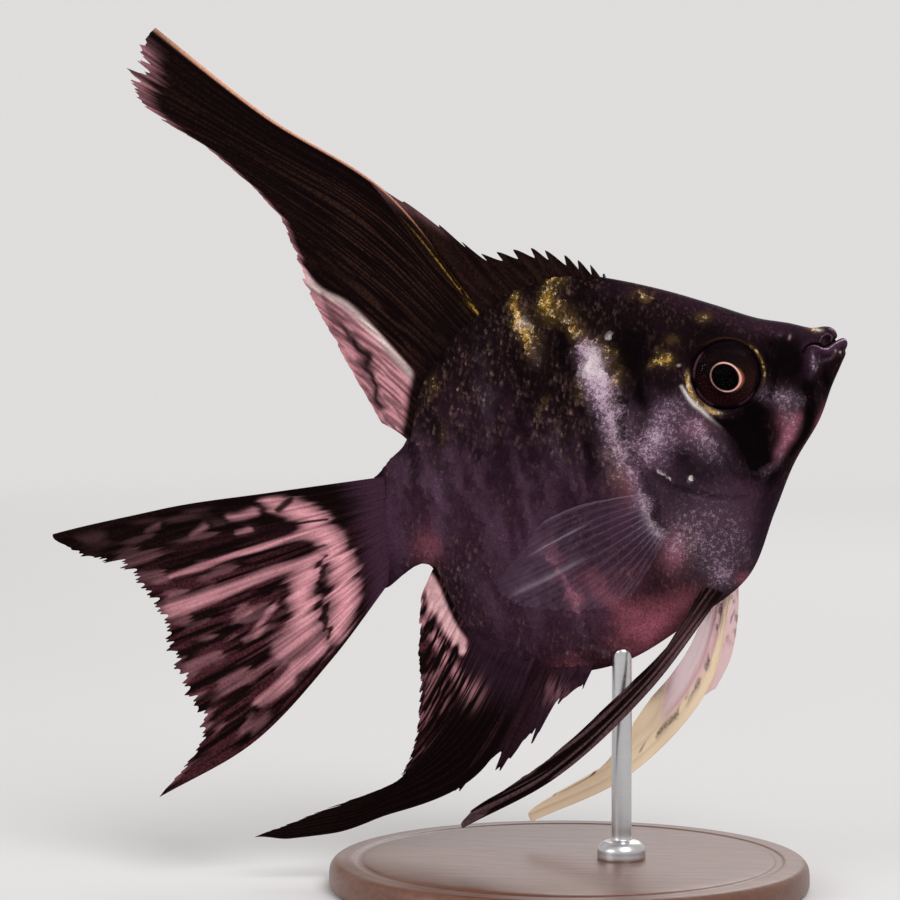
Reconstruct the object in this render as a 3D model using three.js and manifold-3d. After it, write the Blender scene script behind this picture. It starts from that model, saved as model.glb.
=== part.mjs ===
// A life-size freshwater angelfish, swimming with its nose raised, held over a flat stand by one
// thin rod. Millimetres, +Z up. The fish faces +X and its middle plane is the XZ plane, so its
// right side faces -Y. The origin is under the middle of the whole model, on the surface that the
// stand rests on.
import * as THREE from "three";
import { mergeVertices } from "three/addons/utils/BufferGeometryUtils.js";
import Module from "manifold-3d";

const wasm = await Module();
wasm.setup();

// ---------------------------------------------------------------- driving dimensions

const GAP = 0.3; // between pieces that touch
const FIN_TIP_THICKNESS = 0.5;
const FIN_ROOT_THICKNESS = 1.1;
const EYE = { x: 35.6, z: 64.2, radius: 4.7, halfDepth: 2.3, proud: 0.55 };
const GILL = { x: 29.1, z: 56.2, long: 7.8, short: 4.7, tilt: -52, floor: 3.2, proud: 0.2 };
const BASE = { x: 16, radius: 30, height: 3.6, bevel: 0.8 };
const ROD = { x: 22.6, radius: 1.25, collarRadius: 3, collarHeight: 2.2 };
const BODY_STATIONS = 32;
const BODY_AROUND = 24;

// Stations of the body from the mouth to the root of the tail fin. Each joins a point on the back,
// one on the widest line of the flank and one on the belly, with the half width there and how
// thin the back and the belly are: 1 is a round edge, and more is a keel.
const STATIONS = [
  { at: "gape", back: [48.9, 68.5], flank: [48.9, 68.5], belly: [48.9, 68.5], half: 0, keel: [1, 1] },
  { at: "lips", back: [48.7, 69.6], flank: [48.1, 68.3], belly: [50.0, 68.0], half: 1.2, keel: [1, 1] },
  { at: "lip crown", back: [47.6, 70.2], flank: [46.9, 67.9], belly: [50.2, 67.0], half: 1.8, keel: [1, 1] },
  { at: "snout", back: [45.9, 70.1], flank: [45.4, 67.2], belly: [49.6, 65.4], half: 2.3, keel: [0.9, 1] },
  { at: "nostril", back: [43.0, 70.7], flank: [43.8, 66.2], belly: [48.5, 62.8], half: 2.9, keel: [0.95, 1.05] },
  { at: "eye front", back: [39.2, 71.3], flank: [41.2, 64.4], belly: [47.0, 58.6], half: 3.8, keel: [0.95, 1.15] },
  { at: "brow", back: [34.0, 72.9], flank: [37.7, 61.9], belly: [43.9, 53.1], half: 4.7, keel: [1, 1.25] },
  { at: "cheek", back: [27.8, 74.7], flank: [33.2, 59.4], belly: [41.6, 47.2], half: 5.2, keel: [1.1, 1.3] },
  { at: "gill edge", back: [20.7, 76.2], flank: [27.6, 57.2], belly: [38.4, 39.2], half: 5.4, keel: [1.2, 1.3] },
  { at: "shoulder", back: [14.8, 76.9], flank: [21.0, 54.9], belly: [31.5, 33.6], half: 5.3, keel: [1.3, 1.25] },
  { at: "back", back: [7.3, 74.6], flank: [13.8, 52.6], belly: [22.0, 27.9], half: 4.8, keel: [1.4, 1.3] },
  { at: "loin", back: [1.0, 69.6], flank: [7.0, 50.6], belly: [11.0, 27.0], half: 3.9, keel: [1.4, 1.35] },
  { at: "rump", back: [-2.8, 63.6], flank: [1.0, 48.9], belly: [3.2, 31.6], half: 3.0, keel: [1.35, 1.35] },
  { at: "stalk", back: [-4.8, 55.4], flank: [-3.3, 47.4], belly: [-1.9, 40.2], half: 2.1, keel: [1.1, 1.1] },
  { at: "tail root", back: [-8.9, 51.9], flank: [-8.1, 44.5], belly: [-7.4, 36.7], half: 1.1, keel: [1, 1] },
];

// Guide rays of each fin from its leading edge back, each from root to tip as [x, y, z].
const DORSAL_SPINE_TIPS = [
  [20.2, 0, 76.6], [18.5, 0.2, 77.7], [17.0, -0.1, 78.3], [15.3, 0.2, 78.9], [12.9, -0.1, 79.5], [11.1, 0.2, 79.8],
  [8.9, 0, 79.6], [6.8, 0.2, 79.3], [4.9, 0, 79.1], [2.4, 0.1, 80.6], [-0.4, 0.1, 82.7],
  [-4.8, 0.2, 85.6], [-9.3, 0.3, 88.2],
];
const DORSAL_SPINE_ROOTS = { front: [20.6, 0, 75.2], middle: [12.8, 0, 75.0], rear: [5.6, 0, 71.6] };
const ANAL_SPINE_TIPS = [
  [17.6, 0, 24.6], [14.4, 0.1, 22.6], [11.0, 0, 17.3], [6.3, -0.1, 13.5], [1.0, 0, 10.8],
];
const ANAL_SPINE_ROOTS = { front: [19.4, 0, 28.6], middle: [15.6, 0, 28.6], rear: [12.0, 0, 28.8] };
const DORSAL_RAYS = [
  [[5.2, 0, 71.4], [-6.9, 0.3, 86.6], [-22.4, 0.9, 96.4], [-36.9, 2.2, 107.6]],
  [[4.4, 0, 70.8], [-8.2, 0.3, 84.4], [-24.4, 1.0, 94.0], [-40.8, 2.4, 104.2]],
  [[3.3, 0, 69.8], [-8.6, 0.3, 81.6], [-23.6, 0.9, 90.8], [-39.6, 2.0, 98.8]],
  [[2.0, 0, 68.2], [-8.4, 0.2, 77.8], [-18.8, 0.5, 85.4], [-30.4, 1.2, 92.6]],
  [[0.6, 0, 66.0], [-7.8, 0.1, 73.6], [-14.9, 0.2, 79.4], [-21.2, 0.4, 84.0]],
  [[-1.2, 0, 62.8], [-7.6, 0, 68.5], [-13.0, -0.1, 72.6], [-17.8, -0.3, 76.0]],
  [[-2.6, 0, 59.0], [-6.8, 0, 62.8], [-10.3, -0.2, 65.7], [-13.6, -0.5, 68.2]],
  [[-3.6, 0, 55.4], [-5.0, 0, 56.4], [-6.4, -0.1, 57.3], [-7.7, -0.3, 58.0]],
];
const ANAL_RAYS = [
  [[12.2, 0, 29.2], [4.6, 0, 14.0], [-9.0, -0.6, 8.0], [-23.6, -1.8, 5.3]],
  [[10.6, 0, 29.4], [3.2, 0, 16.4], [-8.0, -0.6, 10.0], [-21.0, -1.6, 5.9]],
  [[9.0, 0, 29.6], [2.4, 0, 18.6], [-5.0, -0.4, 12.6], [-14.5, -1.0, 8.8]],
  [[7.4, 0, 30.2], [2.0, 0, 20.8], [-2.4, -0.2, 15.4], [-6.3, -0.5, 12.4]],
  [[5.8, 0, 31.6], [1.7, 0, 23.4], [-1.8, -0.1, 18.3], [-4.5, -0.2, 15.0]],
  [[4.6, 0, 33.6], [1.4, 0, 27.2], [-1.0, 0, 22.8], [-3.4, 0, 18.8]],
  [[3.4, 0, 36.2], [0.9, 0, 31.2], [-1.0, 0.1, 27.6], [-3.0, 0.2, 24.0]],
  [[2.0, 0, 38.6], [0.3, 0, 35.2], [-1.4, 0.1, 32.3], [-3.2, 0.3, 29.6]],
  [[-0.2, 0, 41.2], [-1.1, 0, 39.6], [-1.9, 0.1, 38.0], [-2.7, 0.2, 36.4]],
];
const TAIL_RAYS = [
  [[-7.2, 0, 51.2], [-21.5, 0.4, 49.1], [-36.0, 1.2, 46.8], [-50.2, 2.6, 42.7]],
  [[-7.0, 0, 49.4], [-19.8, 0.4, 46.6], [-32.0, 1.0, 43.9], [-44.2, 2.0, 40.5]],
  [[-6.9, 0, 47.4], [-18.2, 0.2, 43.6], [-29.0, 0.6, 40.2], [-39.8, 1.3, 37.3]],
  [[-6.8, 0, 45.4], [-16.9, 0.1, 40.5], [-27.0, 0.3, 36.4], [-36.6, 0.7, 33.0]],
  [[-6.7, 0, 43.4], [-16.0, -0.1, 37.3], [-25.6, -0.1, 32.3], [-35.3, 0.1, 28.2]],
  [[-6.6, 0, 41.4], [-15.1, -0.2, 34.1], [-24.0, -0.5, 28.0], [-32.9, -0.7, 23.2]],
  [[-6.6, 0, 39.6], [-14.5, -0.3, 31.0], [-22.6, -0.8, 23.8], [-31.2, -1.4, 17.6]],
  [[-6.8, 0, 37.8], [-14.0, -0.3, 28.1], [-23.9, -0.8, 17.5], [-35.9, -2.0, 10.4]],
];
const PECTORAL_RAYS = [
  [[27.6, 4.4, 49.9], [22.1, 7.0, 49.2], [17.5, 8.4, 48.2], [13.4, 9.2, 46.3]],
  [[27.7, 4.4, 49.1], [20.5, 7.4, 46.9], [14.5, 9.0, 43.9], [9.2, 9.9, 40.6]],
  [[27.9, 4.4, 48.2], [20.5, 7.3, 44.9], [13.6, 9.0, 41.6], [7.4, 10.0, 38.6]],
  [[28.1, 4.4, 47.4], [21.5, 7.0, 43.1], [15.0, 8.6, 39.4], [9.0, 9.5, 36.5]],
  [[28.3, 4.4, 46.6], [23.2, 6.6, 41.7], [18.4, 7.9, 37.9], [13.9, 8.6, 35.4]],
  [[28.4, 4.4, 45.8], [25.2, 6.1, 41.3], [22.4, 7.0, 37.9], [19.6, 7.5, 35.3]],
  [[28.6, 4.4, 45.1], [27.0, 5.6, 41.7], [25.6, 6.2, 39.1], [24.2, 6.5, 36.9]],
];
const PELVIC_RAYS_RIGHT = [
  [[35.2, -1.4, 37.2], [26.2, -4.0, 25.1], [15.2, -6.0, 14.7], [3.5, -7.0, 8.2]],
  [[34.6, -1.4, 37.4], [25.7, -4.0, 26.0], [14.9, -6.0, 15.4], [4.6, -7.0, 9.1]],
  [[34.0, -1.4, 37.6], [25.9, -3.8, 26.9], [17.0, -5.7, 18.0], [8.8, -6.6, 12.5]],
  [[33.4, -1.4, 37.8], [26.9, -3.6, 28.4], [20.3, -5.1, 22.0], [14.0, -6.0, 16.7]],
  [[32.8, -1.4, 38.0], [28.6, -3.0, 30.9], [24.6, -4.2, 26.5], [20.6, -5.2, 22.7]],
];
const PELVIC_WEB_LEFT = [
  [[37.0, 1.4, 39.4], [36.8, 2.9, 33.6], [35.9, 3.9, 28.6], [34.0, 4.7, 24.7]],
  [[36.2, 1.4, 39.2], [35.4, 2.9, 33.2], [33.9, 4.0, 28.0], [31.8, 4.8, 23.2]],
];
const PELVIC_RAYS_LEFT = [
  [[36.4, 1.4, 39.2], [33.2, 4.2, 24.9], [23.2, 6.2, 13.4], [10.4, 7.7, 6.8]],
  [[35.6, 1.4, 38.8], [32.0, 4.2, 25.6], [22.8, 6.2, 14.4], [11.4, 7.6, 7.6]],
  [[34.8, 1.4, 38.4], [31.4, 4.0, 27.2], [25.6, 5.6, 19.0], [18.4, 6.6, 12.4]],
  [[34.0, 1.4, 38.0], [31.0, 3.4, 30.4], [28.4, 4.4, 26.3], [25.6, 5.0, 23.0]],
];

// Colours, roughness and metalness of the finishes.
const FINISHES = {
  skin: { color: 0x1e141c, roughness: 0.45, metalness: 0 },
  fin: { color: 0x2a1a1d, roughness: 0.6, metalness: 0 },
  paleFin: { color: 0xd9bda6, roughness: 0.6, metalness: 0 },
  clearFin: { color: 0x8d7f92, roughness: 0.5, metalness: 0 },
  eye: { color: 0x120a0a, roughness: 0.1, metalness: 0 },
  wood: { color: 0x6b3a26, roughness: 0.5, metalness: 0 },
  steel: { color: 0xb8babd, roughness: 0.3, metalness: 1 },
};

// ---------------------------------------------------------------- solids

const radians = THREE.MathUtils.degToRad;

function curveThrough(points) {
  return new THREE.CatmullRomCurve3(points, false, "centripetal");
}

// A geometry as a manifold-3d solid.
function solidOf(geometry) {
  const bare = geometry.clone();
  bare.deleteAttribute("normal");
  bare.deleteAttribute("uv");
  const merged = mergeVertices(bare, 1e-4);
  return new wasm.Manifold(
    new wasm.Mesh({
      numProp: 3,
      vertProperties: new Float32Array(merged.attributes.position.array),
      triVerts: new Uint32Array(merged.index.array),
    }),
  );
}

// A manifold-3d solid as a geometry.
function geometryOf(solid) {
  const mesh = solid.getMesh();
  const corners = new Float32Array(mesh.numVert * 3);
  for (let i = 0; i < mesh.numVert; i++) {
    corners.set(mesh.vertProperties.subarray(i * mesh.numProp, i * mesh.numProp + 3), i * 3);
  }
  return new THREE.BufferGeometry()
    .setAttribute("position", new THREE.BufferAttribute(corners, 3))
    .setIndex(new THREE.BufferAttribute(mesh.triVerts, 1));
}

function indexedSolid(corners, triangles) {
  const geometry = new THREE.BufferGeometry()
    .setAttribute("position", new THREE.Float32BufferAttribute(corners.flatMap((p) => p.toArray()), 3))
    .setIndex(triangles);
  return solidOf(geometry);
}

// The part of a solid that holds the given place, once cuts have parted it.
function pieceAt(pieces, place) {
  const distance = (piece) => {
    const { min, max } = piece.boundingBox();
    return Math.hypot(...place.map((value, axis) => value - (min[axis] + max[axis]) / 2));
  };
  return [...pieces].sort((a, b) => distance(a) - distance(b))[0];
}

// An outline in the XZ plane, carried along Y from one side to the other.
function prism(outline, fromY, toY) {
  const shape = outline instanceof THREE.Shape ? outline : new THREE.Shape(outline);
  const geometry = new THREE.ExtrudeGeometry(shape, {
    depth: toY - fromY,
    bevelEnabled: false,
    curveSegments: 10,
  });
  geometry.rotateX(Math.PI / 2); // the shape's Y becomes Z, and its depth runs towards -Y
  geometry.translate(0, toY, 0);
  return solidOf(geometry);
}

// A thin cut through a body along a path of [x, z] points.
function slit(path, fromY = -15, toY = 15) {
  const points = path.map(([x, z]) => new THREE.Vector3(x, z, 0));
  const curve = curveThrough(points);
  const steps = 2 * (path.length - 1);
  const sides = [[], []];
  for (let i = 0; i <= steps; i++) {
    const point = curve.getPoint(i / steps);
    const along = curve.getTangent(i / steps);
    const across = new THREE.Vector2(-along.y, along.x).multiplyScalar(GAP / 2);
    sides[0].push(new THREE.Vector2(point.x + across.x, point.y + across.y));
    sides[1].unshift(new THREE.Vector2(point.x - across.x, point.y - across.y));
  }
  return prism([...sides[0], ...sides[1]], fromY, toY);
}

// ---------------------------------------------------------------- body

// The body's skin, moved outwards by a margin. Rings run round it at even steps from mouth to
// tail. On a ring the angle runs from the belly (-90) up one flank to the back (90) and down the
// other, height follows its sine and width its cosine raised to the keel there.
function bodySolid(margin = 0) {
  const line = (key, share) => {
    const points = STATIONS.map((station) => new THREE.Vector3(station[key][0], 0, station[key][1]));
    return curveThrough(points).getPoint(share);
  };
  const number = (pick, share) => {
    const place = share * (STATIONS.length - 1);
    const low = Math.min(Math.floor(place), STATIONS.length - 2);
    return THREE.MathUtils.lerp(pick(STATIONS[low]), pick(STATIONS[low + 1]), place - low);
  };
  const corners = [];
  for (let i = 1; i <= BODY_STATIONS; i++) {
    const share = i / BODY_STATIONS;
    const flank = line("flank", share);
    if (i === BODY_STATIONS) flank.x -= margin;
    const edges = ["back", "belly"].map((key) => {
      const edge = line(key, share).sub(flank);
      if (i === BODY_STATIONS) edge.x -= margin;
      return edge.setLength(edge.length() + margin);
    });
    const half = number((station) => station.half, share) + margin;
    for (let j = 0; j < BODY_AROUND; j++) {
      const angle = (2 * Math.PI * j) / BODY_AROUND - Math.PI / 2;
      const up = Math.sin(angle);
      const top = up > 0;
      const keel = number((station) => station.keel[top ? 0 : 1], share);
      const out = Math.sign(Math.cos(angle)) * Math.abs(Math.cos(angle)) ** keel;
      const point = flank.clone().addScaledVector(edges[top ? 0 : 1], Math.abs(up));
      point.y = Math.abs(Math.cos(angle)) < 1e-9 ? 0 : half * out;
      corners.push(point);
    }
  }
  const gape = STATIONS[0].flank;
  const front = corners.push(new THREE.Vector3(gape[0] + margin, 0, gape[1])) - 1;
  const rear = corners.push(line("flank", 1).add(new THREE.Vector3(-margin, 0, 0))) - 1;
  const last = (BODY_STATIONS - 1) * BODY_AROUND;
  const triangles = [];
  for (let j = 0; j < BODY_AROUND; j++) {
    const next = (j + 1) % BODY_AROUND;
    triangles.push(front, j, next);
    triangles.push(rear, last + next, last + j);
    for (let ring = 0; ring < last; ring += BODY_AROUND) {
      const [a, b, c, d] = [ring + j, ring + next, ring + BODY_AROUND + next, ring + BODY_AROUND + j];
      triangles.push(a, c, b, a, d, c);
    }
  }
  return indexedSolid(corners, triangles);
}

function gillOutline(grow) {
  return new THREE.Shape().absellipse(
    GILL.x, GILL.z, GILL.long + grow, GILL.short + grow, 0, 2 * Math.PI, false, radians(GILL.tilt),
  );
}

// One gill cover: the flesh inside its outline, outside its floor and a little proud of the head.
function gillCover(side) {
  const [near, far] = [GILL.floor * side, 9 * side].sort((a, b) => a - b);
  return bodySolid(GILL.proud).intersect(prism(gillOutline(0), near, far));
}

function eyeCentre(side) {
  return new THREE.Vector3(EYE.x, side * (4.35 + EYE.proud - EYE.halfDepth), EYE.z);
}

// An eyeball: a sphere flattened from side to side, grown by a margin for its socket.
function eyeball(side, margin = 0) {
  const geometry = new THREE.SphereGeometry(1, 18, 9);
  geometry.rotateX(Math.PI / 2);
  geometry.scale(EYE.radius + margin, EYE.halfDepth + margin, EYE.radius + margin);
  geometry.translate(...eyeCentre(side).toArray());
  return solidOf(geometry);
}

// The head, jaws, trunk and tail stalk: the body without its eyes and gill covers, parted by cuts.
function bodyPieces() {
  let flesh = bodySolid();
  for (const side of [-1, 1]) {
    const [near, far] = [(GILL.floor - GAP) * side, 12 * side].sort((a, b) => a - b);
    flesh = flesh.subtract(prism(gillOutline(GAP), near, far)).subtract(eyeball(side, GAP));
  }
  const behindGill = [[22.0, 80], [22.8, 70], [21.6, 62], [22.2, 54], [26.8, 49.6], [33, 46.2], [40, 42]];
  const stalkFront = [[-6.5, 58], [-3.4, 47.6], [-1.2, 38]];
  const mouthLine = [[52, 69.0], [48.9, 68.5], [47.2, 67.8], [45.6, 67.6], [43.6, 66.6]];
  const upperLip = [[46.2, 72], [45.4, 70], [45.0, 67.4]];
  const lowerJaw = [[44.4, 68.0], [44.6, 65], [46.2, 61.4], [51, 58.6]];
  for (const path of [behindGill, stalkFront, mouthLine, upperLip, lowerJaw]) {
    flesh = flesh.subtract(slit(path));
  }
  const pieces = flesh.decompose();
  return {
    head: pieceAt(pieces, [35, 0, 60]),
    upper_jaw: pieceAt(pieces, [47, 0, 69]),
    lower_jaw: pieceAt(pieces, [48, 0, 65]),
    trunk: pieceAt(pieces, [13, 0, 52]),
    tail_stalk: pieceAt(pieces, [-6, 0, 46]),
  };
}

// ---------------------------------------------------------------- fins

// A surface through guide rays: a curve along each ray at the share v, and a curve through those
// points at the share u from the leading ray to the last.
function finSurface(rays) {
  const curves = rays.map((ray) => curveThrough(ray.map((p) => new THREE.Vector3(...p))));
  return (u, v) => curveThrough(curves.map((curve) => curve.getPoint(v))).getPoint(u);
}

// A closed sheet about a surface. Its thickness falls from root to tip.
function sheet(surface, acrossSteps, alongSteps, root = FIN_ROOT_THICKNESS) {
  const corners = [];
  const step = 1e-3;
  const clamp = (value) => THREE.MathUtils.clamp(value, step, 1 - step);
  for (const side of [1, -1]) {
    for (let i = 0; i <= acrossSteps; i++) {
      for (let j = 0; j <= alongSteps; j++) {
        const u = i / acrossSteps;
        const v = j / alongSteps;
        const across = surface(clamp(u) + step, v).sub(surface(clamp(u) - step, v));
        const along = surface(u, clamp(v) + step).sub(surface(u, clamp(v) - step));
        const out = across.cross(along).normalize();
        const thickness = THREE.MathUtils.lerp(root, FIN_TIP_THICKNESS, Math.min(1, 1.5 * v));
        corners.push(surface(u, v).addScaledVector(out, (side * thickness) / 2));
      }
    }
  }
  const row = alongSteps + 1;
  const back = (acrossSteps + 1) * row;
  const triangles = [];
  const quad = (a, b, c, d) => triangles.push(a, b, c, a, c, d);
  for (let i = 0; i < acrossSteps; i++) {
    for (let j = 0; j < alongSteps; j++) {
      const a = i * row + j;
      quad(a, a + row, a + row + 1, a + 1);
      quad(back + a, back + a + 1, back + a + row + 1, back + a + row);
    }
    const [root0, root1] = [i * row, (i + 1) * row];
    quad(root0, back + root0, back + root1, root1);
    quad(root0 + alongSteps, root1 + alongSteps, back + root1 + alongSteps, back + root0 + alongSteps);
  }
  for (let j = 0; j < alongSteps; j++) {
    const last = acrossSteps * row + j;
    quad(j, j + 1, back + j + 1, back + j);
    quad(last, back + last, back + last + 1, last + 1);
  }
  return indexedSolid(corners, triangles);
}

// A comb of spines joined by a web that sinks between their tips: spine tips in order, roots on a
// curve under the back or belly. The web falls back from each tip by the cosine of the spine count.
function spinySheet(roots, tips, webDepth) {
  const rootCurve = curveThrough(Object.values(roots).map((p) => new THREE.Vector3(...p)));
  const tipCurve = curveThrough(tips.map((p) => new THREE.Vector3(...p)));
  const spines = tips.length - 1;
  const surface = (u, v) => {
    const base = rootCurve.getPoint(u);
    const reach = tipCurve.getPoint(u).sub(base);
    const sag = (webDepth * (1 - Math.cos(2 * Math.PI * spines * u))) / 2;
    const length = Math.max(reach.length() - sag, 0.4 * reach.length());
    return base.addScaledVector(reach.normalize(), length * v);
  };
  return sheet(surface, 4 * spines, 2, 1.0);
}

function mirrored(rays) {
  return rays.map((ray) => ray.map(([x, y, z]) => [x, -y, z]));
}

// ---------------------------------------------------------------- stand

function standBase() {
  const { radius, height, bevel } = BASE;
  const profile = [[0, 0], [radius - bevel / 2, 0], [radius, bevel / 2], [radius, height - bevel],
    [radius - bevel, height], [0, height]];
  const geometry = new THREE.LatheGeometry(profile.map((p) => new THREE.Vector2(...p)), 48);
  geometry.rotateX(Math.PI / 2);
  geometry.translate(BASE.x, 0, 0);
  return solidOf(geometry);
}

// A rod that stands in a collar on the base and ends at the belly.
function standRod() {
  const { radius, collarRadius, collarHeight } = ROD;
  const foot = BASE.height + GAP;
  const crown = 31;
  const profile = [[0, foot], [collarRadius, foot], [collarRadius, foot + collarHeight - 0.5],
    [collarRadius - 0.5, foot + collarHeight], [radius, foot + collarHeight], [radius, crown], [0, crown]];
  const geometry = new THREE.LatheGeometry(profile.map((p) => new THREE.Vector2(...p)), 20);
  geometry.rotateX(Math.PI / 2);
  geometry.translate(ROD.x, 0, 0);
  return solidOf(geometry);
}

// ---------------------------------------------------------------- assembly

const clearance = bodySolid(GAP);
const pieces = bodyPieces();
const outside = (solid) => solid.subtract(clearance).decompose().sort((a, b) => b.volume() - a.volume())[0];

const dorsalFin = sheet(finSurface(DORSAL_RAYS), 14, 9)
  .add(spinySheet(DORSAL_SPINE_ROOTS, DORSAL_SPINE_TIPS, 1.6));
const analFin = sheet(finSurface(ANAL_RAYS), 16, 8)
  .add(spinySheet(ANAL_SPINE_ROOTS, ANAL_SPINE_TIPS, 1.8));
const pelvicFinLeft = sheet(finSurface(PELVIC_RAYS_LEFT), 5, 11)
  .add(sheet(finSurface(PELVIC_WEB_LEFT), 2, 6, 0.8));

const model = new THREE.Group();
function add(name, solid, finish) {
  const mesh = new THREE.Mesh(geometryOf(solid), new THREE.MeshStandardMaterial(FINISHES[finish]));
  mesh.name = name;
  model.add(mesh);
}

for (const [name, solid] of Object.entries(pieces)) add(name, solid, "skin");
add("gill_cover_right", gillCover(-1), "skin");
add("gill_cover_left", gillCover(1), "skin");
add("eye_right", eyeball(-1), "eye");
add("eye_left", eyeball(1), "eye");
add("dorsal_fin", outside(dorsalFin), "fin");
add("anal_fin", outside(analFin), "fin");
add("tail_fin", outside(sheet(finSurface(TAIL_RAYS), 14, 9)), "fin");
add("pectoral_fin_left", outside(sheet(finSurface(PECTORAL_RAYS), 9, 6, 0.8)), "clearFin");
add("pectoral_fin_right", outside(sheet(finSurface(mirrored(PECTORAL_RAYS)), 9, 6, 0.8)), "clearFin");
add("pelvic_fin_right", outside(sheet(finSurface(PELVIC_RAYS_RIGHT), 5, 11)), "fin");
add("pelvic_fin_left", outside(pelvicFinLeft), "paleFin");
add("stand_base", standBase(), "wood");
add("stand_rod", outside(standRod()), "steel");

export default model;
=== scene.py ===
"""A life-size freshwater angelfish over a display stand: skin, scales, eyes, fins, stand and stage.

Lengths are in millimetres until a mesh is made, and the fish faces +X with its middle plane at y = 0.
"""

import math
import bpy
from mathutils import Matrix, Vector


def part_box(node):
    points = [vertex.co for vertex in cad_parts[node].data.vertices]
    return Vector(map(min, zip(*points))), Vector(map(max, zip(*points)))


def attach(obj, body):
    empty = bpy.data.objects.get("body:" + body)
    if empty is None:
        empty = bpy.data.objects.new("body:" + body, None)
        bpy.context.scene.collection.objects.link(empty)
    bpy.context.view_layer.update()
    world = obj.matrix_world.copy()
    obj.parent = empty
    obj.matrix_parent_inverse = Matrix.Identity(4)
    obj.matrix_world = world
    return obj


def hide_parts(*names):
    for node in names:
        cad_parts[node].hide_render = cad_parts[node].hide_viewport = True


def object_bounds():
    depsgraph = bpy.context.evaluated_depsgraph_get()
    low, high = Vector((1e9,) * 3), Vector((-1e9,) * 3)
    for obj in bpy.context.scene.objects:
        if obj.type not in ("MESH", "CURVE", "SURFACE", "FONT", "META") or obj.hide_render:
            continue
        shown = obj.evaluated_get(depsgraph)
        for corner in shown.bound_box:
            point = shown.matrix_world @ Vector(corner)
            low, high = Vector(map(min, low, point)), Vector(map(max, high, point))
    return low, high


bl_info = {
    "name": "Angelfish Model",
    "version": (1, 0, 0),
    "blender": (4, 5, 0),
    "location": "3D View > Sidebar > Angelfish",
    "description": "Builds a scaled skin, rayed fins, eyes and a stand round a packed angelfish",
    "category": "Object",
}

import bpy
import numpy as np
from bpy.props import FloatProperty, FloatVectorProperty, IntProperty, PointerProperty
from mathutils import Matrix, Vector

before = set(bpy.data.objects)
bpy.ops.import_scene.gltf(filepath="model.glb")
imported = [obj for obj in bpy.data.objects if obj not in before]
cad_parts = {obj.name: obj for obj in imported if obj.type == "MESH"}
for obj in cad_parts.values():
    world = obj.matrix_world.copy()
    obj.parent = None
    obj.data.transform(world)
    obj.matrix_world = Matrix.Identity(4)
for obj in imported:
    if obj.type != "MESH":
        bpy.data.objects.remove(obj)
CAD_BOX = [list(corner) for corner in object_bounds()]

MM = 0.001
BODY = "root"

# -------- shape of the fish

# Stations of the body from mouth to tail: back, widest line of the flank and belly as (x, z), the
# half width, and how sharp the back and belly are, where 1 is round and more is a keel.
STATIONS = (
    ((48.9, 68.5), (48.9, 68.5), (48.9, 68.5), 0, 1, 1),
    ((48.7, 69.6), (48.1, 68.3), (50, 68), 1.2, 1, 1),
    ((47.6, 70.2), (46.9, 67.9), (50.2, 67), 1.8, 1, 1),
    ((45.9, 70.1), (45.4, 67.2), (49.6, 65.4), 2.3, 0.9, 1),
    ((43, 70.7), (43.8, 66.2), (48.5, 62.8), 2.9, 0.95, 1.05),
    ((39.2, 71.3), (41.2, 64.4), (47, 58.6), 3.8, 0.95, 1.15),
    ((34, 72.9), (37.7, 61.9), (43.9, 53.1), 4.7, 1, 1.25),
    ((27.8, 74.7), (33.2, 59.4), (41.6, 47.2), 5.2, 1.1, 1.3),
    ((20.7, 76.2), (27.6, 57.2), (38.4, 39.2), 5.4, 1.2, 1.3),
    ((14.8, 76.9), (21, 54.9), (31.5, 33.6), 5.3, 1.3, 1.25),
    ((7.3, 74.6), (13.8, 52.6), (22, 27.9), 4.8, 1.4, 1.3),
    ((1, 69.6), (7, 50.6), (11, 27), 3.9, 1.4, 1.35),
    ((-2.8, 63.6), (1, 48.9), (3.2, 31.6), 3, 1.35, 1.35),
    ((-4.8, 55.4), (-3.3, 47.4), (-1.9, 40.2), 2.1, 1.1, 1.1),
    ((-8.9, 51.9), (-8.1, 44.5), (-7.4, 36.7), 1.1, 1, 1),
)
EYE_X, EYE_Z = 35.6, 64.2

# Guide rays of the fins from the leading edge back, each from root to tip as (x, y, z).
DORSAL_RAYS = (
    ((5.2, 0, 71.4), (-6.9, 0.3, 86.6), (-22.4, 0.9, 96.4), (-36.9, 2.2, 107.6)),
    ((4.4, 0, 70.8), (-8.2, 0.3, 84.4), (-24.4, 1, 94), (-40.8, 2.4, 104.2)),
    ((3.3, 0, 69.8), (-8.6, 0.3, 81.6), (-23.6, 0.9, 90.8), (-39.6, 2, 98.8)),
    ((2, 0, 68.2), (-8.4, 0.2, 77.8), (-18.8, 0.5, 85.4), (-30.4, 1.2, 92.6)),
    ((0.6, 0, 66), (-7.8, 0.1, 73.6), (-14.9, 0.2, 79.4), (-21.2, 0.4, 84)),
    ((-1.2, 0, 62.8), (-7.6, 0, 68.5), (-13, -0.1, 72.6), (-17.8, -0.3, 76)),
    ((-2.6, 0, 59), (-6.8, 0, 62.8), (-10.3, -0.2, 65.7), (-13.6, -0.5, 68.2)),
    ((-3.6, 0, 55.4), (-5, 0, 56.4), (-6.4, -0.1, 57.3), (-7.7, -0.3, 58)),
)
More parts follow.
